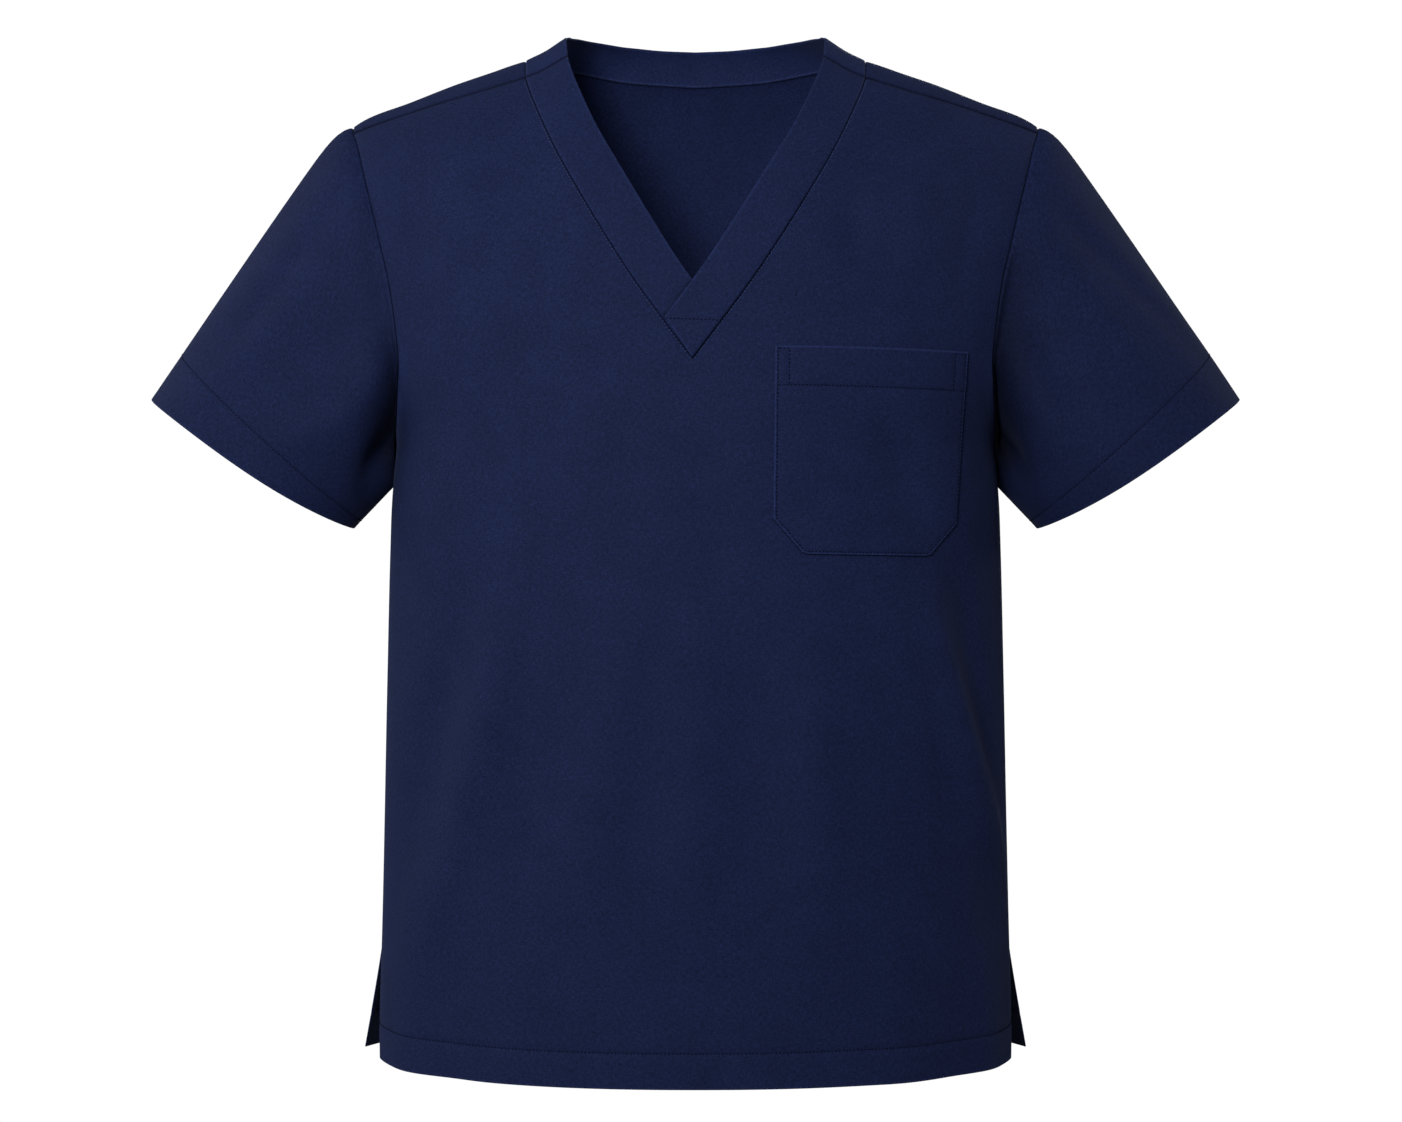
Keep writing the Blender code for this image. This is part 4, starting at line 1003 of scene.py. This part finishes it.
def make_sleeve(name, node, hand):
    """A short set-in sleeve: straight lines from the armhole to an oval hem.

    The cap is puffed, the underarm sags, and folds and creases are laid on. The seam is
    rolled in, and the hem is folded and stitched.
    """
    start, torso_outward, around = armhole_loop(hand)
    upward = np.array([math.cos(SLEEVE_HEM_TILT), 0.0, math.sin(SLEEVE_HEM_TILT)])
    forward = np.array([0.0, -1.0, 0.0])
    axis = np.array([math.sin(SLEEVE_HEM_TILT), 0.0, -math.cos(SLEEVE_HEM_TILT)])
    topward, frontward = np.cos(around)[:, None], np.sin(around)[:, None]
    bow = SLEEVE_HEM_BOW * frontward ** 2 * (1 - SLEEVE_HEM_BOW_LOW * topward)
    hem = SLEEVE_HEM_CENTRE + bow * axis + SLEEVE_HEM_HALF_HEIGHT * topward * upward
    hem = hem + SLEEVE_HEM_HALF_DEPTH * frontward * forward
    length = np.linalg.norm(hem - start, axis=1).mean()
    girth = arc_length(hem)[-1]
    marks = np.concatenate([CLOSE, SLEEVE_ROWS_NEAR_CAP, length - CLOSE, length - HEM_STITCH + BESIDE])
    share = (spaced(0, length, SLEEVE_STEP, marks) / length)[:, None, None]
    down = share * length
    topness = ((1 + topward) / 2)[None]
    puff = SLEEVE_CAP_PUFF * topness * (1 - np.exp(-share / SLEEVE_CAP_REACH)) * (1 - share ** 2)
    lift = puff + sleeve_lift(hand, around, share, length, girth)
    sag = SLEEVE_SAG * (1 - topness) ** 2 * (1 - share) * (1 - np.exp(-share / SLEEVE_SAG_REACH))
    grid = between(start, hem, share) + lift * (topward * upward + frontward * forward)[None]
    grid = grid + sag * np.array([SLEEVE_SAG_LEAN, 0.0, -1.0])

    from_seam = distance_to(grid, [ring(grid, 0)])
    below = np.abs(180 - np.degrees(around))[:, None]
    grid = grid + sleeve_tuck(down, below, frontward)
    outward = tube_outward(grid)
    in_line = ease(1 + np.cos(around) / SLEEVE_IN_LINE)[:, None]
    near_seam = bell(down, SLEEVE_FACE_REACH)
    grid = grid + near_seam * (1 - in_line) * UNDERARM_CLEARANCE * torso_outward
    seam_outward = between(outward[0], torso_outward, in_line)
    outward = unit(between(outward, seam_outward, near_seam))

    hem_row = np.argmin(np.abs(down[:, 0, 0] - length + HEM_STITCH))
    seam_ring, hem_ring, stitch_ring = ring(grid, 0), ring(grid, -1), ring(grid, hem_row)
    curl = edge_sink(grid, [hem_ring], HEM_FOLD / 2)
    sewn = stitch_sink(grid, [stitch_ring])
    inward = between(outward, torso_outward, bell(down, SLEEVE_ROLL_REACH))
    outer = grid - inward * seam_sink(grid, [seam_ring])[..., None]
    outer = outer - outward * (STITCH_TROUGH * sewn + curl)[..., None]
    wall = hem_wall(folded(distance_to(grid, [hem_ring]), HEM_DEPTH), curl)

    u = np.append(around, 2 * math.pi) / (2 * math.pi) * girth
    flat = paired(u[None, :], down[:, :, 0])
    # Painted shade deep in the tuck under the arm and beside the lower armhole seam, stronger and wider on
    # the wearer's left
    deep = bell(below - SLEEVE_DEEP_PLACE, SLEEVE_DEEP_SPREAD) * bell(down, SLEEVE_TUCK_REACH)
    shade_start = SLEEVE_SEAM_START[hand]
    beside = SLEEVE_SEAM_SHADE[hand] * ease((shade_start - below) / (shade_start - SLEEVE_SEAM_END))[:, 0]
    painted_lightness = painted_light_and_shade(grid, [seam_ring], [hem_ring], sewn) * (1 - SLEEVE_DEEP_SHADE * deep[..., 0])
    painted_lightness = painted_lightness * (1 - beside * bell(from_seam, SLEEVE_SEAM_REACH[hand]))
    mirror = np.array([hand, 1.0, 1.0])
    piece, _ = add_cloth(name, node, outer * mirror, wall, outward * mirror, flat, painted_lightness, closed=True)
    return piece, [(stitch_ring * mirror, ring(outward, hem_row) * mirror)]


def make_band(name, node, side, outer, inner, lift, stand=0.0, crossed=()):
    """A folded strip of neckband between its seam and its inner edge.

    The strip is ruled between the two edges in turn and climb, and stands up off the form by
    the share "stand". It is rolled in at its seam and ends, and its inner edge is a round fold.
    It carries a painted shadow beside the crossed lines, where another strip's edge lies on it.
    """
    share = spaced(0, BAND_WIDTH, BAND_STEP, np.concatenate([CLOSE, BAND_WIDTH - CLOSE])) / BAND_WIDTH
    angles = between(outer[:, None], inner[:, None], share[:, None])
    grid, outward, turn, _ = upper_cloth(side, angles)
    if side == FRONT:
        grid = grid + outward * relief(FRONT, grid, turn)[..., None]
    # Painted shadow of the over band's edge on the under band
    shaded = PAINTED_CROSSING_SHADOW * bell(distance_to(grid, crossed), CROSSING_REACH)
    grid = grid + outward * lift[:, None, None] + (stand * share)[..., None] * np.array(BACK_BAND_STAND)
    seams, edges = [grid[:, 0], grid[0]], [grid[:, -1]]
    (seams if side == BACK else edges).append(grid[-1])
    curl = edge_sink(grid, edges, BAND_FOLD / 2)
    face = grid - outward * (seam_sink(grid, seams) + curl)[..., None]
    run = arc_length(grid[:, 0])
    flat = paired(run[:, None], share[None, :] * BAND_WIDTH)
    # Painted shade in the grooves of the shoulder seams at the band's ends
    ends = PAINTED_SHOULDER_SHADE * bell(distance_to(grid, seams[1:]), SHOULDER_GROOVE)
    painted_lightness = painted_light_and_shade(grid, seams, edges) * (1 - shaded) * (1 - ends)
    # Painted light: the back band is made lighter all over, as if it faced the light more
    if side == BACK:
        painted_lightness = painted_lightness * PAINTED_BACK_BAND_LIGHT
    piece, reverse = add_cloth(name, node, face, BAND_FOLD - 2 * curl, outward, flat, painted_lightness)
    return piece, (face, reverse, outward)


def make_front_band(name, node, hand, overlap_lift):
    """One side of the V neckband; its lower end crosses the other side's."""
    run = FRONT_BAND_RUN
    share = spaced(0, run, run / FRONT_BAND_STEPS, np.concatenate([CLOSE, run - CLOSE])) / run
    lift = BAND_LIFT + (overlap_lift - BAND_LIFT) * ease(share / BAND_CROSSING - 1)
    over_edge = torso_at_climb(FRONT, *front_neck("inner", share, -hand).T)
    # The under band gets a painted shadow along the over band's inner edge
    crossed = [over_edge] if overlap_lift < BAND_LIFT else []
    edges = [front_neck(edge, share, hand) for edge in ("outer", "inner")]
    return make_band(name, node, FRONT, *edges, lift, crossed=crossed)


def make_back_band(name, node):
    """The back neckband, from one shoulder seam round the neck to the other."""
    share = spaced(0, BACK_BAND_RUN, BACK_BAND_RUN / BACK_BAND_STEPS, CLOSE)[::-1] / BACK_BAND_RUN
    edges = [both_sides(back_neck(edge, share)) for edge in ("outer", "inner")]
    stand = ease((share - BACK_BAND_STAND_START) / BACK_BAND_STAND_RUN)
    stand = np.concatenate([stand[:0:-1], stand])[:, None]
    return make_band(name, node, BACK, *edges, np.full(len(stand), BAND_LIFT), stand)


def front_place(across, height):
    """Points of the front with its folds, and normals, at places seen from the front."""
    turn = turn_at(across, height)
    points = torso_at_height(FRONT, turn, height)
    outward = form_outward(torso_at_height, FRONT, turn, height)
    return points + outward * relief(FRONT, points, turn)[..., None], outward


def pocket_place(side_share, down_share, cut=0.0):
    """Places on the pocket seen from the front, ruled between its corners.

    Its bottom edge is raised by "cut" where its lower corners are cut off.
    """
    across, height = POCKET_CORNERS["across"], POCKET_CORNERS["height"]
    left = between(across[0], across[3], down_share)
    right = between(across[1], across[2], down_share)
    top = between(height[0], height[1], side_share)
    bottom = between(height[3], height[2], side_share) + cut
    return between(left, right, side_share), between(top, bottom, down_share)


def pocket_height(gap, top_gap):
    """How far the pocket's face stands off the front, and how much of its header lies there.

    The folded edge is low, the middle is soft, and the header is one more layer thick.
    """
    rise = np.sin(np.clip(gap / POCKET_EDGE_REACH, 0, 1) * math.pi / 2)
    stand = POCKET_SEAT + (POCKET_LIFT - POCKET_SEAT) * rise
    stand += POCKET_PUFF * ease(gap / POCKET_PUFF_REACH) * (0.5 + 0.5 * ease(1 - top_gap / POCKET_PUFF_DOWN))
    header = folded(top_gap, POCKET_HEADER)
    return stand + POCKET_HEADER_LIFT * header, header


def pocket_paths(wide, deep, chamfer):
    """The pocket's stitch lines on the front, with normals: edge, header and corner boxes.

    Each runs through corners given as shares across and down the uncut pocket.
    """
    inner, first, header = POCKET_EDGE_STITCH / wide, POCKET_EDGE_STITCH / deep, POCKET_HEADER / deep
    cut_side = chamfer + inner * POCKET_CORNER_STITCH[0]
    cut_top = 1 - POCKET_CHAMFER_HEIGHT / deep - first * POCKET_CORNER_STITCH[1]
    left = [(inner, POCKET_STITCH_TOP), (inner, cut_top), (cut_side, 1 - first)]
    right = [(1 - across, down) for across, down in left[::-1]]
    lines = [left + right, [(inner, header), (1 - inner, header)]]
    for start, end in ((inner, inner + POCKET_BOX / wide), (1 - inner, 1 - inner - POCKET_BOX / wide)):
        lines.append([(start, first), (end, first), (end, header)])
    paths = []
    for corners in lines:
        across, down = np.array(corners).T
        run = arc_length(np.array(corners))
        at = np.linspace(0, run[-1], POCKET_LINE_STEPS)
        paths.append(front_place(*pocket_place(np.interp(at, run, across), np.interp(at, run, down))))
    return paths


def make_pocket(name, node):
    """The chest patch pocket, sewn round three sides, its header folded and stitched."""
    across, height = POCKET_CORNERS["across"], POCKET_CORNERS["height"]
    wide, deep = across[1] - across[0], height[0] - height[3]
    stitch = POCKET_EDGE_STITCH + POCKET_BESIDE
    marks = np.concatenate([CLOSE, stitch, POCKET_BOX + stitch, [POCKET_CHAMFER_WIDTH]])
    side_share = spaced(0, wide, POCKET_STEP, np.concatenate([marks, wide - marks]))[None, :] / wide
    marks = np.concatenate([CLOSE, POCKET_HEADER + BESIDE, deep - CLOSE, deep - stitch])
    down_share = spaced(0, deep, POCKET_STEP, marks)[:, None] / deep
    chamfer = POCKET_CHAMFER_WIDTH / (across[2] - across[3])
    corner = np.clip(1 - np.minimum(side_share, 1 - side_share) / chamfer, 0, 1)
    place = np.broadcast_arrays(*pocket_place(side_share, down_share, POCKET_CHAMFER_HEIGHT * corner))
    base, outward = front_place(*place)
    sewn_edges, top = [base[:, 0], base[:, -1], base[-1]], [base[0]]
    stand, header = pocket_height(distance_to(base, sewn_edges), distance_to(base, top))
    paths = pocket_paths(wide, deep, chamfer)
    sewn = stitch_sink(base, [path[0] for path in paths])
    curl = edge_sink(base, top, HEM_FOLD / 2)
    outer = base + outward * (stand - STITCH_TROUGH * sewn - curl)[..., None]
    wall = np.minimum(hem_wall(header, curl, POCKET_RIM), stand - STITCH_TROUGH * sewn - POCKET_BEHIND)
    # Painted highlights along the pocket's edges, stronger than elsewhere, with painted shade in its seam
    # grooves and stitch lines
    painted_lightness = painted_light_and_shade(base, sewn_edges[1:], sewn_edges[:1] + top, sewn, POCKET_PAINTED_HIGHLIGHT)
    piece, _ = add_cloth(name, node, outer, wall, outward, paired(*place), painted_lightness)
    lifted = []
    for points, facing in paths:
        over, _ = pocket_height(distance_to(points, sewn_edges), distance_to(points, top))
        lifted.append((points + facing * over[:, None], facing))
    return piece, lifted


def sampled(at, run, values):
    """Points or directions along a line, at distances from its start."""
    return paired(*(np.interp(at, run, column) for column in values.T))


def make_stitches(name, paths, material="navy_thread", sink=STITCH_TROUGH):
    """Rows of thread: small rounded bars along lines, their ends dipping into the cloth.

    A bar's section s, from -1 to 1 along it, is a circle of half its width * sqrt(1 - 0.8 s^2),
    raised by rise * (1 - s^2).
    """
    stitches = []
    for points, outward in paths:
        run = arc_length(points)
        count = max(1, int(run[-1] / STITCH_PITCH))
        middle = (np.arange(count) + 0.5) * run[-1] / count
        ends = [sampled(middle + end * STITCH_LENGTH / 2, run, points) for end in (-1, 1)]
        stitches.append((sampled(middle, run, points), ends[1] - ends[0], sampled(middle, run, outward)))
    place, ahead, facing = (np.concatenate(group) for group in zip(*stitches))
    ahead = unit(ahead)
    facing = unit(facing - ahead * np.sum(facing * ahead, axis=1, keepdims=True))
    section = np.linspace(-1, 1, STITCH_SECTIONS)[:, None]
    angle = np.arange(STITCH_SIDES)[None, :] / STITCH_SIDES * 2 * math.pi
    radius = STITCH_WIDTH / 2 * np.sqrt(1 - STITCH_TAPER * section ** 2)
    high = radius * np.sin(angle) + STITCH_RISE * (1 - section ** 2) - sink
    moves = (section * STITCH_LENGTH / 2, radius * np.cos(angle), high)
    bars = place[:, None, None]
    for move, way in zip(moves, (ahead, np.cross(ahead, facing), facing)):
        bars = bars + move[None, ..., None] * way[:, None, None]
    row, column = grid_cells(STITCH_SECTIONS - 1, STITCH_SIDES)
    sides = (row * STITCH_SIDES + column % STITCH_SIDES)[:, [0, 3, 2, 1]]
    size = STITCH_SECTIONS * STITCH_SIDES
    numbers = np.arange(size)
    offsets = np.arange(len(place))[:, None] * size
    faces = (sides[None] + offsets[..., None]).reshape(-1, 4).tolist()
    ends = numbers[:STITCH_SIDES], numbers[:-STITCH_SIDES - 1:-1]
    caps = np.concatenate([offsets + end for end in ends])
    mesh = bpy.data.meshes.new(name)
    mesh.from_pydata(bars.reshape(-1, 3).tolist(), [], faces + caps.tolist())
    mesh.shade_smooth()
    return add_piece(name, mesh, material)


def vee_stitch_paths():
    """The edge stitching just outside the V band's seam, as lines on the front."""
    share = np.linspace(VEE_STITCH_START, 1.0, VEE_STEPS)
    paths = []
    for hand in (-1, 1):
        across, height = neckline("outer", share, hand)
        slope = unit(paired(np.gradient(across), np.gradient(height))) * VEE_STITCH
        paths.append(front_place(across - hand * slope[:, 1], height + hand * slope[:, 0]))
    return paths


def tack_path(band):
    """The tack across the crossing band, from its inner edge to its seam, at one height."""
    grid, _, outward = band
    rows = np.argmin(np.abs(grid[..., 2] - TACK_HEIGHT), axis=0)[TACK_WITHIN]
    columns = np.arange(grid.shape[1])[TACK_WITHIN]
    points, facing = grid[rows, columns], outward[rows, columns]
    points[:, 2] = np.linspace(points[0, 2], points[-1, 2], len(points))
    return points + facing * TACK_LIFT, facing


def inside_band_path(band):
    """The back band's edge stitching, on the face that shows inside the neck."""
    outer, inner, outward = band
    column = np.argmin(np.abs(arc_length(outer[len(outer) // 2]) - BACK_BAND_STITCH))
    return inner[:, column], -outward[:, column]


def node(tree, kind, output, inputs, **settings):
    """A new node's output, its inputs being plain values or other nodes' outputs."""
    made = tree.nodes.new("ShaderNode" + kind)
    for name, value in settings.items():
        setattr(made, name, value)
    fill(tree, made, inputs)
    return made.outputs[output]


def fill(tree, made, inputs):
    """Give a node's inputs plain values or other nodes' outputs."""
    for name, value in inputs.items():
        if isinstance(value, bpy.types.NodeSocket):
            tree.links.new(value, made.inputs[name])
        else:
            made.inputs[name].default_value = value


def noise(tree, vector, scale, detail=2.0):
    """Soft noise of a scale, from 0 to 1."""
    return node(tree, "TexNoise", "Fac", {"Vector": vector, "Scale": scale, "Detail": detail})


def ranged(tree, value, to_range, from_range=NOISE_RANGE):
    """A value brought from one range to another."""
    ends = zip(("From Min", "From Max", "To Min", "To Max"), (*from_range, *to_range))
    return node(tree, "MapRange", "Result", {"Value": value, **dict(ends)})


def product(tree, first, *others):
    """Values multiplied together."""
    for other in others:
        first = node(tree, "Math", "Value", {0: first, 1: other}, operation="MULTIPLY")
    return first


def new_material(name):
    """A material's node tree and its Principled shader, and the material."""
    material = bpy.data.materials.new(name)
    material.use_nodes = True
    return material.node_tree, material.node_tree.nodes["Principled BSDF"], material


def tinted(tree, shader, colour, shade, looks):
    """Fill a shader: a colour multiplied by a shade, with the cloth's dull finish."""
    tint = node(tree, "VectorMath", "Vector", {0: colour, "Scale": shade}, operation="SCALE")
    finish = {"Roughness": CLOTH_ROUGHNESS, "Specular IOR Level": CLOTH_SPECULAR}
    fill(tree, shader, {"Base Color": tint, **finish, **looks})


def cloth_material(name, colour):
    """Plain-woven navy cloth: a fine weave, uneven threads both ways, and a faint mottle."""
    tree, shader, _ = new_material(name)
    flat = node(tree, "UVMap", "UV", {}, uv_map="cloth")
    place = node(tree, "TexCoord", "Object", {})
    runs = []
    for scale in ((*THREAD_SCALE, 1), (*THREAD_SCALE[::-1], 1)):
        stretched = node(tree, "Mapping", "Vector", {"Vector": flat, "Scale": scale})
        runs.append(ranged(tree, noise(tree, stretched, 1.0), THREAD_RANGE))
    threads = product(tree, *runs)
    mottle = ranged(tree, noise(tree, place, MOTTLE_SCALE), MOTTLE_RANGE)
    cloudy = ranged(tree, noise(tree, place, CLOUD_SCALE, CLOUD_DETAIL), CLOUD_RANGE)
    slub_noise = noise(tree, place, SLUB_SCALE, 1.0)
    slubs = [ranged(tree, slub_noise, SLUB_RANGE, SLUB_PLACES[:2]),
             ranged(tree, slub_noise, SLUB_RANGE[::-1], SLUB_PLACES[1:])]
    # The points' painted light and shade multiplies the cloth's colour
    painted_shading = node(tree, "Attribute", "Fac", {}, attribute_name="painted_light_and_shade")
    shade = product(tree, threads, mottle, cloudy, *slubs, painted_shading)
    waves = {"Vector": flat, "Scale": WEAVE_SCALE}
    weave = product(tree, *(node(tree, "TexWave", "Fac", waves, bands_direction=way) for way in ("X", "Y")))
    rough = {0: ranged(tree, weave, (0.0, WEAVE_HEIGHT), (0, 1)), 1: threads}
    rough = node(tree, "Math", "Value", rough, operation="ADD")
    bump = {"Strength": BUMP_STRENGTH, "Distance": BUMP_DISTANCE, "Height": rough}
    tinted(tree, shader, colour, shade, {**SHEEN, "Normal": node(tree, "Bump", "Normal", bump)})


def thread_material(name, colour):
    """Navy sewing thread with a fine twist."""
    tree, shader, _ = new_material(name)
    place = node(tree, "TexCoord", "Object", {})
    tinted(tree, shader, colour, ranged(tree, noise(tree, place, TWIST_SCALE, 1.0), TWIST_RANGE), {})


def dress():
    """Make every piece of the top and its stitching."""
    cloth_material("navy_poplin", NAVY)
    thread_material("navy_thread", DARK_THREAD)
    thread_material("light_navy_thread", LIGHT_THREAD)
    front, front_paths = make_panel("front_cloth", "front", FRONT)
    back, back_paths = make_panel("back_cloth", "back", BACK)
    left_sleeve, left_paths = make_sleeve("sleeve_left_cloth", "sleeve_left", 1)
    right_sleeve, right_paths = make_sleeve("sleeve_right_cloth", "sleeve_right", -1)
    left_band, left_face = make_front_band("neckband_left_cloth", "neckband_front_left", 1, BAND_OVER_LIFT)
    right_band, _ = make_front_band("neckband_right_cloth", "neckband_front_right", -1, BAND_UNDER_LIFT)
    back_band, back_face = make_back_band("neckband_back_cloth", "neckband_back")
    pocket, pocket_lines = make_pocket("chest_pocket_cloth", "chest_pocket")

    front_thread = make_stitches("front_stitches", front_paths)
    vee_thread = make_stitches("vee_stitches", vee_stitch_paths(), "light_navy_thread")
    tack_thread = make_stitches("vee_tack_stitches", [tack_path(left_face)], sink=0.0)
    neck_lines = [inside_band_path(back_face)]
    neck_thread = make_stitches("neckband_back_stitches", neck_lines, "light_navy_thread", sink=0.0)
    back_thread = make_stitches("back_stitches", back_paths)
    left_thread = make_stitches("sleeve_left_stitches", left_paths)
    right_thread = make_stitches("sleeve_right_stitches", right_paths)
    pocket_thread = make_stitches("pocket_stitches", pocket_lines)


def seen_or_lit(tree, seen, lit, output):
    """Give the camera one shader and the light that reaches other things another."""
    camera_ray = node(tree, "LightPath", "Is Camera Ray", {})
    mix = node(tree, "MixShader", "Shader", {"Fac": camera_ray, 1: lit, 2: seen})
    tree.links.new(mix, tree.nodes[output].inputs["Surface"])


def make_floor():
    """A pale floor that curves up behind into a backdrop: a line, a quarter circle, a line."""
    bend = np.linspace(0, math.pi / 2, SWEEP_STEPS)
    curve = SWEEP_BACK + SWEEP_RADIUS * np.sin(bend)
    fore = np.concatenate([[SWEEP_FRONT], curve, [SWEEP_BACK + SWEEP_RADIUS]])
    high = np.concatenate([[0], SWEEP_RADIUS * (1 - np.cos(bend)), [SWEEP_TOP]]) + FLOOR_HEIGHT
    across, fore = np.meshgrid(np.array([-SWEEP_HALF_WIDTH, SWEEP_HALF_WIDTH]), fore)
    row, column = grid_cells(len(high) - 1, 1)
    points = paired(across, fore, high[:, None]).reshape(-1, 3)
    mesh = quad_mesh("floor", points, row * 2 + column)
    tree, shader, material = new_material("pale_floor")
    fill(tree, shader, {"Base Color": (FLOOR_GREY, FLOOR_GREY, FLOOR_GREY, 1), "Roughness": FLOOR_ROUGHNESS})
    white = node(tree, "Emission", "Emission", {"Strength": SEEN_WHITE})
    seen_or_lit(tree, white, shader.outputs["BSDF"], "Material Output")
    mesh.materials.append(material)
    put("floor", mesh)


def soft_light(name, place, target, size, power):
    """A square soft white light aimed at a target."""
    lamp = bpy.data.lights.new(name, "AREA")
    lamp.shape = "SQUARE"
    lamp.size = size
    lamp.energy = power
    item = put(name, lamp)
    item.location = place
    item.rotation_euler = (Vector(target) - Vector(place)).to_track_quat("-Z", "Y").to_euler()


def make_world():
    """Even pale light from all round; the camera sees it white."""
    world = bpy.data.worlds.new("studio")
    world.use_nodes = True
    tree = world.node_tree
    light = tree.nodes["Background"]
    fill(tree, light, {"Color": WHITE, "Strength": ROOM_LIGHT})
    white = node(tree, "Background", "Background", {"Color": WHITE, "Strength": SEEN_WHITE})
    seen_or_lit(tree, white, light.outputs["Background"], "World Output")
    bpy.context.scene.world = world


def make_studio():
    """The camera, the lights, the floor and the world."""
    scene = bpy.context.scene
    lens = bpy.data.cameras.new("camera")
    lens.sensor_width = 36.0
    lens.lens = CAMERA_LENS
    lens.shift_x = CAMERA_SHIFT
    camera = put("camera", lens)
    camera.location = CAMERA_PLACE
    camera.rotation_euler = (math.pi / 2, 0, 0)
    scene.camera = camera
    scene.view_settings.view_transform = "Standard"
    scene.view_settings.look = "None"
    make_world()
    make_floor()
    for light in LIGHTS:
        soft_light(*light)


dress()
make_studio()
